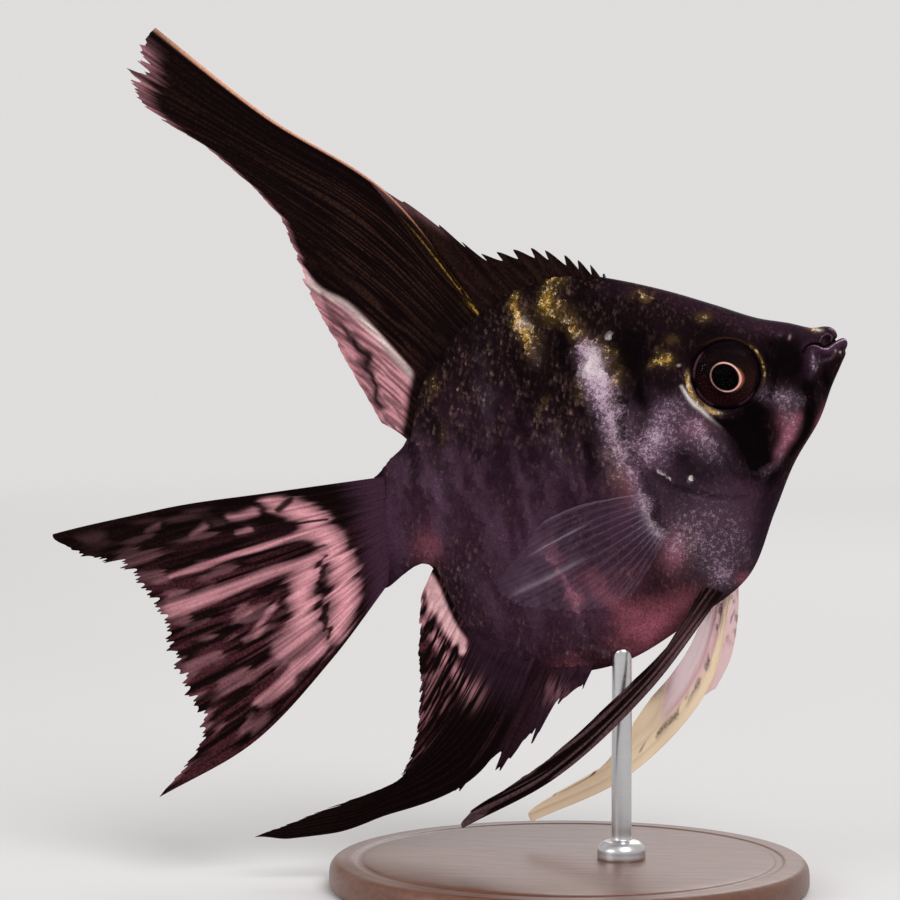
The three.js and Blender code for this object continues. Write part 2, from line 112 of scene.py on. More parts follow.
ANAL_RAYS = (
    ((12.2, 0, 29.2), (4.6, 0, 14), (-9, -0.6, 8), (-23.6, -1.8, 5.6)),
    ((10.6, 0, 29.4), (3.2, 0, 16.4), (-8, -0.6, 10), (-20.8, -1.6, 6.8)),
    ((9, 0, 29.6), (2.4, 0, 18.6), (-5, -0.4, 12.6), (-14.8, -1, 9.2)),
    ((7.4, 0, 30.2), (2, 0, 20.8), (-2.4, -0.2, 15.4), (-6.3, -0.5, 12.4)),
    ((5.8, 0, 31.6), (1.7, 0, 23.4), (-1.8, -0.1, 18.3), (-4.5, -0.2, 15)),
    ((4.6, 0, 33.6), (1.4, 0, 27.2), (-1, 0, 22.8), (-3.4, 0, 18.8)),
    ((3.4, 0, 36.2), (0.9, 0, 31.2), (-1, 0.1, 27.6), (-3, 0.2, 24)),
    ((2, 0, 38.6), (0.3, 0, 35.2), (-1.4, 0.1, 32.3), (-3.2, 0.3, 29.6)),
    ((-0.2, 0, 41.2), (-1.1, 0, 39.6), (-1.9, 0.1, 38), (-2.7, 0.2, 36.4)),
)
TAIL_RAYS = (
    ((-7.2, 0, 51.2), (-21.5, 0.4, 49.1), (-36, 1.2, 46.8), (-50.2, 2.6, 42.7)),
    ((-7, 0, 49.4), (-19.8, 0.4, 46.6), (-32, 1, 43.9), (-44.2, 2, 40.5)),
    ((-6.9, 0, 47.4), (-18.2, 0.2, 43.6), (-29, 0.6, 40.2), (-39.8, 1.3, 37.3)),
    ((-6.8, 0, 45.4), (-16.9, 0.1, 40.5), (-27, 0.3, 36.4), (-36.6, 0.7, 33)),
    ((-6.7, 0, 43.4), (-16, -0.1, 37.3), (-25.6, -0.1, 32.3), (-35.3, 0.1, 28.2)),
    ((-6.6, 0, 41.4), (-15.1, -0.2, 34.1), (-24, -0.5, 28), (-32.9, -0.7, 23.2)),
    ((-6.6, 0, 39.6), (-14.5, -0.3, 31), (-22.6, -0.8, 23.8), (-31.2, -1.4, 17.6)),
    ((-6.8, 0, 37.8), (-14, -0.3, 28.1), (-23.9, -0.8, 17.5), (-35.9, -2, 10.4)),
)
# Light and dark strokes of the tail and anal fins: points, widths and strengths.
TAIL_PALE = (
    (((-13.4, 31.8), (-12.4, 35.4), (-12.6, 39.6), (-14.6, 43.4), (-17.6, 46.2), (-21.6, 47.9)),
     (1.5, 1.7, 1.7, 1.3), (1, 1, 0.95, 0.85)),
    (((-16.6, 39.2), (-18, 36.8), (-17.4, 33.6), (-18, 31.4), (-20.6, 29.2)), (1.3, 1.9, 1.5),
     (0.85, 1, 0.9, 0.6)),
    (((-15.2, 29.6), (-16.8, 28.2), (-18.9, 26.9)), (0.95, 0.9), (0.9, 0.8)),
    (((-19.4, 25.6), (-21.2, 24), (-23.2, 22.6)), (1.1, 0.9), (0.8, 0.6)),
    (((-15.6, 41.2), (-22, 38.9), (-28.4, 36.4), (-34.9, 34)), (0.55, 0.8, 1.35), (0.95, 0.9, 0.75)),
    (((-16.4, 44.2), (-23.4, 42), (-29.8, 39.8), (-34.8, 38.2)), (0.45, 0.38, 0.35), (0.8, 0.85, 0.5)),
    (((-24.2, 46.6), (-26, 46), (-27.4, 45.8)), (0.75, 0.7), (0.55, 0.5)),
    (((-24.8, 44.4), (-26.6, 43.9)), (0.45, 0.4), (0.5, 0.4)),
    (((-30.8, 44.6), (-32.6, 43.4)), (0.7, 0.6), (0.35, 0.3)),
    (((-36.8, 44.6), (-38.2, 44)), (0.6, 0.5), (0.3, 0.25)),
    (((-21.4, 34.8), (-23, 32.6), (-24.4, 30.6)), (0.6, 0.6), (0.5, 0.35)),
    (((-24.8, 33.8), (-27, 32.4)), (0.5, 0.5), (0.35, 0.25)),
)
TAIL_DARK = (
    (((-14.6, 41), (-15.6, 38.6), (-14.8, 35.4), (-15.2, 32.8), (-14.6, 31)), (0.42, 0.5, 0.45),
     (0.8, 1, 0.95)),
    (((-15, 42.6), (-21, 40.6), (-28, 38.2), (-34.6, 36.2)), (0.26, 0.34, 0.5), (0.6, 0.9, 0.9)),
    (((-14.8, 45.6), (-19.6, 44.8), (-24.8, 43.2)), (0.2, 0.28), (0.75, 0.9)),
    (((-19.4, 48.2), (-21, 47)), (0.5, 0.5), (0.85, 0.85)),
)
ANAL_PALE = (((-1.9, 39.8), (-1, 37), (0.8, 34.2), (2, 32), (2.7, 29.6)),
             (1, 1.9, 2, 1.7, 0.9), (0.9, 1, 1, 1, 0.8))
ANAL_DULL = (((-2.2, 32.6), (-0.6, 30.4), (1.2, 27.8), (2.8, 25)), (0.6, 0.8), (0.9, 1, 0.7))
# Shifts of the tail's upper tip off its guide rays: middle and width across the fin, and the shift.
TAIL_TIP_SHIFTS = ((0.1, 0.08, (-0.8, 0, -1.05)), (0.02, 0.022, (-0.9, 0, 0)), (0, 0.05, (0, 0, 0.8)))
# The light patch of the dorsal fin: its front edge and the dark streak in it.
PALE_EDGE = ((-17.6, 77.8), (-15.3, 75.1), (-12, 73.3), (-9, 70.6), (-6, 67.3), (-3, 63.8), (-1.2, 60.8))
PALE_STREAK = ((-15.6, 74), (-14, 72.2), (-12, 69.6), (-10, 66.6), (-9, 63.3), (-8.2, 60))
PECTORAL_RAYS = (
    ((27.6, 4.4, 49.9), (22.1, 7, 49.2), (17.5, 8.4, 48.2), (13.4, 9.2, 46.3)),
    ((27.7, 4.4, 49.1), (20.5, 7.4, 46.9), (14.5, 9, 43.9), (9.2, 9.9, 40.6)),
    ((27.9, 4.4, 48.2), (20.5, 7.3, 44.9), (13.6, 9, 41.6), (7.4, 10, 38.6)),
    ((28.1, 4.4, 47.4), (21.5, 7, 43.1), (15, 8.6, 39.4), (9, 9.5, 36.5)),
    ((28.3, 4.4, 46.6), (23.2, 6.6, 41.7), (18.4, 7.9, 37.9), (13.9, 8.6, 35.4)),
    ((28.4, 4.4, 45.8), (25.2, 6.1, 41.3), (22.4, 7, 37.9), (19.6, 7.5, 35.3)),
    ((28.6, 4.4, 45.1), (27, 5.6, 41.7), (25.6, 6.2, 39.1), (24.2, 6.5, 36.9)),
)
PELVIC_RAYS_RIGHT = (
    ((35.2, -1.4, 37.2), (26.2, -4, 25.1), (15.2, -6, 14.7), (3.5, -7, 8.2)),
    ((34.6, -1.4, 37.4), (25.7, -4, 26), (14.7, -6, 15.6), (3.3, -7, 9.3)),
    ((34, -1.4, 37.6), (25.9, -3.8, 26.9), (17, -5.7, 18), (8.5, -6.6, 12.9)),
    ((33.4, -1.4, 37.8), (26.9, -3.6, 28.4), (20.3, -5.1, 22), (14, -6, 16.7)),
    ((32.8, -1.4, 38), (28.6, -3, 30.9), (24.6, -4.2, 26.5), (20.6, -5.2, 22.7)),
)
PELVIC_RAYS_LEFT = (
    ((36.4, 1.4, 39.2), (33.2, 4.2, 24.9), (23.2, 6.2, 13.4), (10.4, 7.7, 6.8)),
    ((35.6, 1.4, 38.8), (32, 4.2, 25.6), (22.5, 6.2, 14.8), (10.1, 7.6, 8.1)),
    ((34.8, 1.4, 38.4), (31.4, 4, 27.2), (25.4, 5.6, 19.2), (18.1, 6.6, 13)),
    ((34, 1.4, 38), (31, 3.4, 30.4), (28.4, 4.4, 26.3), (25.6, 5, 23)),
)
PELVIC_WEB_LEFT = (
    ((37, 1.4, 39.4), (36.8, 2.9, 33.6), (35.9, 3.9, 28.6), (34, 4.7, 24.7)),
    ((36.2, 1.4, 39.2), (35.4, 2.9, 33.2), (33.9, 4, 28), (31.8, 4.8, 23.2)),
)
# Spine tips along the front of the dorsal and anal fins, and the line of their roots.
DORSAL_SPINES = (
    (20.2, 0, 76.6), (18.5, 0.2, 77.7), (17, -0.1, 78.3), (15.3, 0.2, 78.9), (12.9, -0.1, 79.5),
    (11.1, 0.2, 79.8), (8.9, 0, 79.6), (6.8, 0.2, 79.3), (4.9, 0, 79.1), (2.4, 0.1, 80.6),
    (-0.4, 0.1, 82.7), (-4.8, 0.2, 85.6), (-9.3, 0.3, 88.2),
)
DORSAL_SPINE_ROOTS = ((20.6, 0, 75.2), (12.8, 0, 75), (5.6, 0, 71.6))
ANAL_SPINES = ((17.6, 0, 24.6), (14.4, 0.1, 22.6), (11, 0, 17.3), (6.3, -0.1, 13.5), (1, 0, 10.8))
ANAL_SPINE_ROOTS = ((19.4, 0, 28.6), (15.6, 0, 28.6), (12, 0, 28.8))

# Lines on the head as (x, z): the gape, upper jaw bone, fold before the gill cover, and its edge.
GAPE = ((49.2, 68.7), (48.5, 68.3), (47.9, 67.87), (47.45, 67.72), (46.8, 68), (46, 68),
        (45.4, 67.7), (45, 67.1))
MAXILLA = ((46.05, 67), (46.3, 65.8), (46.1, 64.8), (45.7, 63.7))
JAW_LOBE = ((45.4, 67.6), (44.9, 66.8), (44.85, 65.6), (45.2, 64.5))
LOWER_LIP = ((50.2, 68), (49.5, 68.1), (48.8, 67.65), (47.9, 67.2), (46.9, 67.4), (45.9, 67.35))
UPPER_LIP = ((48.9, 68.9), (48.55, 69.5), (47.9, 69.9), (47.2, 69.8))
LIP_LOOP = ((48.3, 68.35), (48.3, 68.95), (47.7, 69.25), (47.1, 68.85), (46.95, 68.35))
CHEEK = ((30.2, 63), (31.1, 61.4), (32.7, 59.9), (34.2, 58.6), (36, 57), (37.4, 55.2),
         (38.2, 53.6), (38.6, 52.3))
PREOPERCLE = ((33.2, 59), (34.5, 56.1), (36.3, 53.2), (37.7, 51.9), (39.7, 51.8), (41.7, 53.1),
              (43.6, 55), (45.2, 57.6))
GILL_EDGE = ((26.6, 66.6), (24.9, 63.4), (23.7, 60.4), (23.7, 57.2), (25.3, 54), (27.4, 52.1),
             (29.3, 50.9), (32.2, 50), (37.2, 49.3), (40.6, 50.2))

NOISE_CELLS = 32
NOISE_TABLE = np.random.default_rng(23).random((NOISE_CELLS,) * 3)


# -------- curves, noise and distances

def smooth(value, low, high):
    """A smooth step: 0 below low, 1 above high, and 3t^2 - 2t^3 between."""
    t = np.clip((value - low) / (high - low), 0, 1)
    return t * t * (3 - 2 * t)


def fall(value, low, high):
    """The reverse of smooth: 1 below low and 0 above high."""
    return 1 - smooth(value, low, high)


def plateau(value, start, full, fade, end):
    """Rises smoothly from start to full, then falls smoothly from fade to end."""
    return smooth(value, start, full) * fall(value, fade, end)


def bell(value, width):
    """A bell curve of the value: 1 at 0, and exp(-(value / width)^2) away from it."""
    return np.exp(-((value / width) ** 2))


def noise(x, y, z=0.0):
    """Smooth noise from 0 to 1: random numbers on whole places, joined by smooth steps."""
    place = np.broadcast_arrays(np.asarray(x, float), y, z)
    low = [np.floor(axis).astype(int) for axis in place]
    step = [(axis - cell) ** 2 * (3 - 2 * (axis - cell)) for axis, cell in zip(place, low)]
    total = 0.0
    for corner in np.ndindex(2, 2, 2):
        weight = 1.0
        for axis in range(3):
            weight = weight * (step[axis] if corner[axis] else 1 - step[axis])
        cell = tuple((low[axis] + corner[axis]) % NOISE_CELLS for axis in range(3))
        total = total + weight * NOISE_TABLE[cell]
    return total


def spline(points, share, even=False):
    """Catmull-Rom curves side by side. points[i] is control i of every curve, (controls, curves, 3).

    share 0..1 gives every control an equal part. The pace is the square root of each chord, or with
    even the same for all. Returns (shares, curves, 3).
    """
    points = np.asarray(points, float)
    share = np.asarray(share, float)
    padded = np.concatenate([2 * points[:1] - points[1:2], points, 2 * points[-1:] - points[-2:-1]])
    place = share * (len(points) - 1)
    low = np.clip(np.floor(place).astype(int), 0, len(points) - 2)
    t = (place - low).reshape((-1,) + (1,) * (points.ndim - 1))
    a, b, c, d = (padded[low + i] for i in range(4))
    if even:
        first = middle = last = 1.0
    else:
        first, middle, last = (np.sqrt(np.linalg.norm(q - p, axis=-1, keepdims=True))
                               for p, q in ((a, b), (b, c), (c, d)))
        middle = np.where(middle < 1e-4, 1.0, middle)
        first = np.where(first < 1e-4, middle, first)
        last = np.where(last < 1e-4, middle, last)
    start = ((b - a) / first - (c - a) / (first + middle) + (c - b) / middle) * middle
    end = ((c - b) / middle - (d - b) / (middle + last) + (d - c) / last) * middle
    return b + start * t + (3 * (c - b) - 2 * start - end) * t**2 + (2 * (b - c) + start + end) * t**3


def line(points, steps=24):
    """A smooth line through a few (x, z) points, as many points."""
    return spline(np.asarray(points, float)[:, None, :], np.linspace(0, 1, steps))[:, 0]


def path_offset(x, z, points):
    """How far each place is from a line, above 0 on its left, and the share along it, 0 to 1."""
    points = np.asarray(points, float)
    best = np.full(np.shape(x), np.inf)
    side = np.zeros(np.shape(x))
    share = np.zeros(np.shape(x))
    for i, (start, end) in enumerate(zip(points[:-1], points[1:])):
        run = end - start
        t = np.clip(((x - start[0]) * run[0] + (z - start[1]) * run[1]) / (run @ run), 0, 1)
        dx = x - start[0] - t * run[0]
        dz = z - start[1] - t * run[1]
        distance = np.hypot(dx, dz)
        near = distance < best
        best = np.where(near, distance, best)
        side = np.where(near, np.sign(run[0] * dz - run[1] * dx), side)
        share = np.where(near, (i + t) / (len(points) - 1), share)
    return best * np.where(side == 0, 1, side), share


def line_offset(x, z, points, steps=24):
    """Like path_offset, from the smooth line through the points."""
    return path_offset(x, z, line(points, steps))


def blob(x, z, centre, size, tilt=0.0):
    """A soft spot: 1 in the middle, exp(-r^2) in radii of the two sizes, turned by tilt degrees."""
    turn = math.radians(tilt)
    dx, dz = x - centre[0], z - centre[1]
    along = (dx * math.cos(turn) + dz * math.sin(turn)) / size[0]
    across = (dz * math.cos(turn) - dx * math.sin(turn)) / size[1]
    return np.exp(-(along**2 + across**2))


def stroke(x, z, points, widths, strengths):
    """A soft stroke along a line, with a bell across it. Width and strength change along it."""
    offset, share = line_offset(x, z, points, 8 * len(points))
    width, strength = (np.interp(share, np.linspace(0, 1, len(values)), values)
                       for values in (widths, strengths))
    return strength * bell(offset, width)


def union(*masks):
    """One mask that is 1 less the product of (1 - m) over all masks m."""
    clear = 1.0
    for mask in masks:
        clear = clear * (1 - np.clip(mask, 0, 1))
    return 1 - clear


def side_view(places):
    """The x and z of places."""
    return places[..., 0], places[..., 2]


# -------- body surface

BACK, FLANK, BELLY = (np.array([station[i] for station in STATIONS], float) for i in range(3))
NUMBERS = np.array([station[3:] for station in STATIONS], float)
BACK_LINE, BELLY_LINE = line(BACK, 120), line(BELLY, 120)


def body_ribs(share):
    """Back, flank and belly points (x, z) and the half width and two keel numbers at each share."""
    lines = spline(np.stack([BACK, FLANK, BELLY], axis=1), share)
    numbers = spline(NUMBERS[:, None, :], share, even=True)[:, 0]
    return lines[:, 0], lines[:, 1], lines[:, 2], np.clip(numbers, 0.0, None)


def body_place(share, height):
    """Places on the plain body's half with y above 0, at shares along it and heights from -1 (belly)
    to 1 (back).

    From the flank a place moves along the rib to the back or belly in proportion to the height. It
    stands out by the half width times (1 - height^2) to half the keel number.
    """
    back, flank, belly, numbers = body_ribs(share)
    up = height > 0
    place = flank + (np.where(up[..., None], back, belly) - flank) * np.abs(height)[..., None]
    keel = np.where(up, numbers[..., 1], numbers[..., 2])
    out = numbers[..., 0] * np.clip(1 - height**2, 0, 1) ** (keel / 2)
    return np.stack([place[..., 0], out, place[..., 1]], -1)


def find_on_body(x, z):
    """The (share, height) of the rib that passes each side-view place, or nan where none does.

    Ribs are straight lines in that view. Along the body, a place changes from one side of the ribs to
    the other once, and the share is found there in proportion to the cross products before and after.
    """
    shares = np.linspace(0.002, 1, 900)
    back, flank, belly, _ = body_ribs(shares)
    best_share = np.full(x.shape, np.nan)
    best_height = np.full(x.shape, np.nan)
    rows = np.arange(len(x))
    for edge, sign in ((back, 1), (belly, -1)):
        run = edge - flank
        dx = x[:, None] - flank[None, :, 0]
        dz = z[:, None] - flank[None, :, 1]
        cross = run[None, :, 0] * dz - run[None, :, 1] * dx
        height = (dx * run[None, :, 0] + dz * run[None, :, 1]) / (run**2).sum(-1)[None]
        on_rib = (height[:, :-1] >= -0.01) & (height[:, :-1] <= 1.02)
        change = (cross[:, :-1] * cross[:, 1:] <= 0) & on_rib
        at = change.argmax(1)
        before, after = cross[rows, at], cross[rows, at + 1]
        t = np.where(np.abs(before - after) > 1e-12, before / (before - after), 0)
        share = shares[at] + t * (shares[1] - shares[0])
        level = height[rows, at] + t * (height[rows, at + 1] - height[rows, at])
        use = change.any(1) & np.isnan(best_share)
        best_share = np.where(use, share, best_share)
        best_height = np.where(use, sign * np.clip(level, 0, 1), best_height)
    return best_share, best_height


# Swellings and hollows of the head as (x, z, two sizes, tilt, height), and the nostrils and pores as
# (x, z, size, depth). Then the ridge before the pectoral fin.
SWELLINGS = ((48.1, 69.3, 0.9, 0.7, -20, 0.3), (47.7, 68.6, 0.35, 0.3, 0, -0.14),
             (49.8, 68.35, 0.75, 0.42, 10, 0.42), (40.0, 57.6, 2.0, 3.4, 70, -0.35))
PITS = ((43.4, 68.85, 0.24, 0.26), (42.1, 69.1, 0.2, 0.18), (41.0, 68.0, 0.2, 0.12))
SHOULDER = ((26.8, 50.6), (27.3, 48.2), (28.4, 45.2))


def relief(x, z):
    """How far the skin stands out from the plain body at each side-view place, in millimetres.

    It is a sum of soft pits, folds and rims: the orbit, gape and lips, upper jaw, nostrils, the sunk
    end of the tail stalk, the fold before the gill cover, the step at its edge, and the shoulder of
    the pectoral fin.
    """
    eye = np.hypot(x - EYE_X, z - EYE_Z)
    out = -1.7 * fall(eye, 4.12, 4.5) + 0.22 * bell(eye - 4.74, 0.24)
    out += 0.1 * bell(eye - 5.7, 0.5) - 0.08 * bell(eye - 6.4, 0.4) - smooth(-x, 6.4, 8.9)
    for mid_x, mid_z, wide, tall, tilt, height in SWELLINGS:
        out += height * blob(x, z, (mid_x, mid_z), (wide, tall), tilt)
    for mid_x, mid_z, size, depth in PITS:
        pit = np.hypot(x - mid_x, z - mid_z)
        out += 0.07 * bell(pit - 1.7 * size, 0.5 * size) - depth * bell(pit, size)
    gape, along = line_offset(x, z, GAPE)
    out -= 0.2 * bell(gape, 0.11) * fall(along, 0.92, 1)
    lower, along = line_offset(x, z, LOWER_LIP)
    out += 0.26 * bell(lower, 0.42) * (1 - 0.6 * smooth(along, 0.7, 1))
    out -= 0.1 * bell(lower - 0.8, 0.25) * fall(along, 0.6, 0.9) * (lower > 0)
    for lip, height, width in ((UPPER_LIP, 0.12, 0.2), (LIP_LOOP, 0.14, 0.16)):
        out += height * bell(line_offset(x, z, lip)[0], width)
    bone, along = line_offset(x, z, MAXILLA)
    out += (0.16 * bell(bone, 0.24) - 0.12 * bell(np.abs(bone) - 0.55, 0.2)) \
        * (1 - 0.8 * smooth(along, 0.7, 1))
    lobe, along = line_offset(x, z, JAW_LOBE)
    out += (0.2 * bell(lobe + 0.35, 0.5) - 0.16 * bell(lobe - 0.25, 0.22)) * fall(along, 0.7, 1)
    fold, along = line_offset(x, z, PREOPERCLE)
    out += (0.1 * bell(fold - 0.75, 0.6) - 0.15 * bell(fold, 0.28)) * plateau(along, 0, 0.2, 0.85, 1)
    gill, along = line_offset(x, z, GILL_EDGE, 40)
    inside = smooth(gill, -0.1, 0.12)
    step = inside * (0.16 + 0.22 * np.exp(-np.clip(gill, 0, None) / 2.2))
    step -= (1 - inside) * 0.22 * np.exp(np.clip(gill, None, 0) / 0.8)
    out += step * plateau(along, 0, 0.12, 0.8, 1)
    shoulder, along = path_offset(x, z, SHOULDER)
    out += 0.4 * bell(shoulder, 0.75) * plateau(along, 0, 0.15, 0.9, 1)
    rib = 0.5 + 0.5 * np.cos(2 * math.pi * along * 13)
    return out + 0.12 * rib * bell(shoulder - 0.7, 0.32) * plateau(along, 0, 0.1, 0.95, 1)
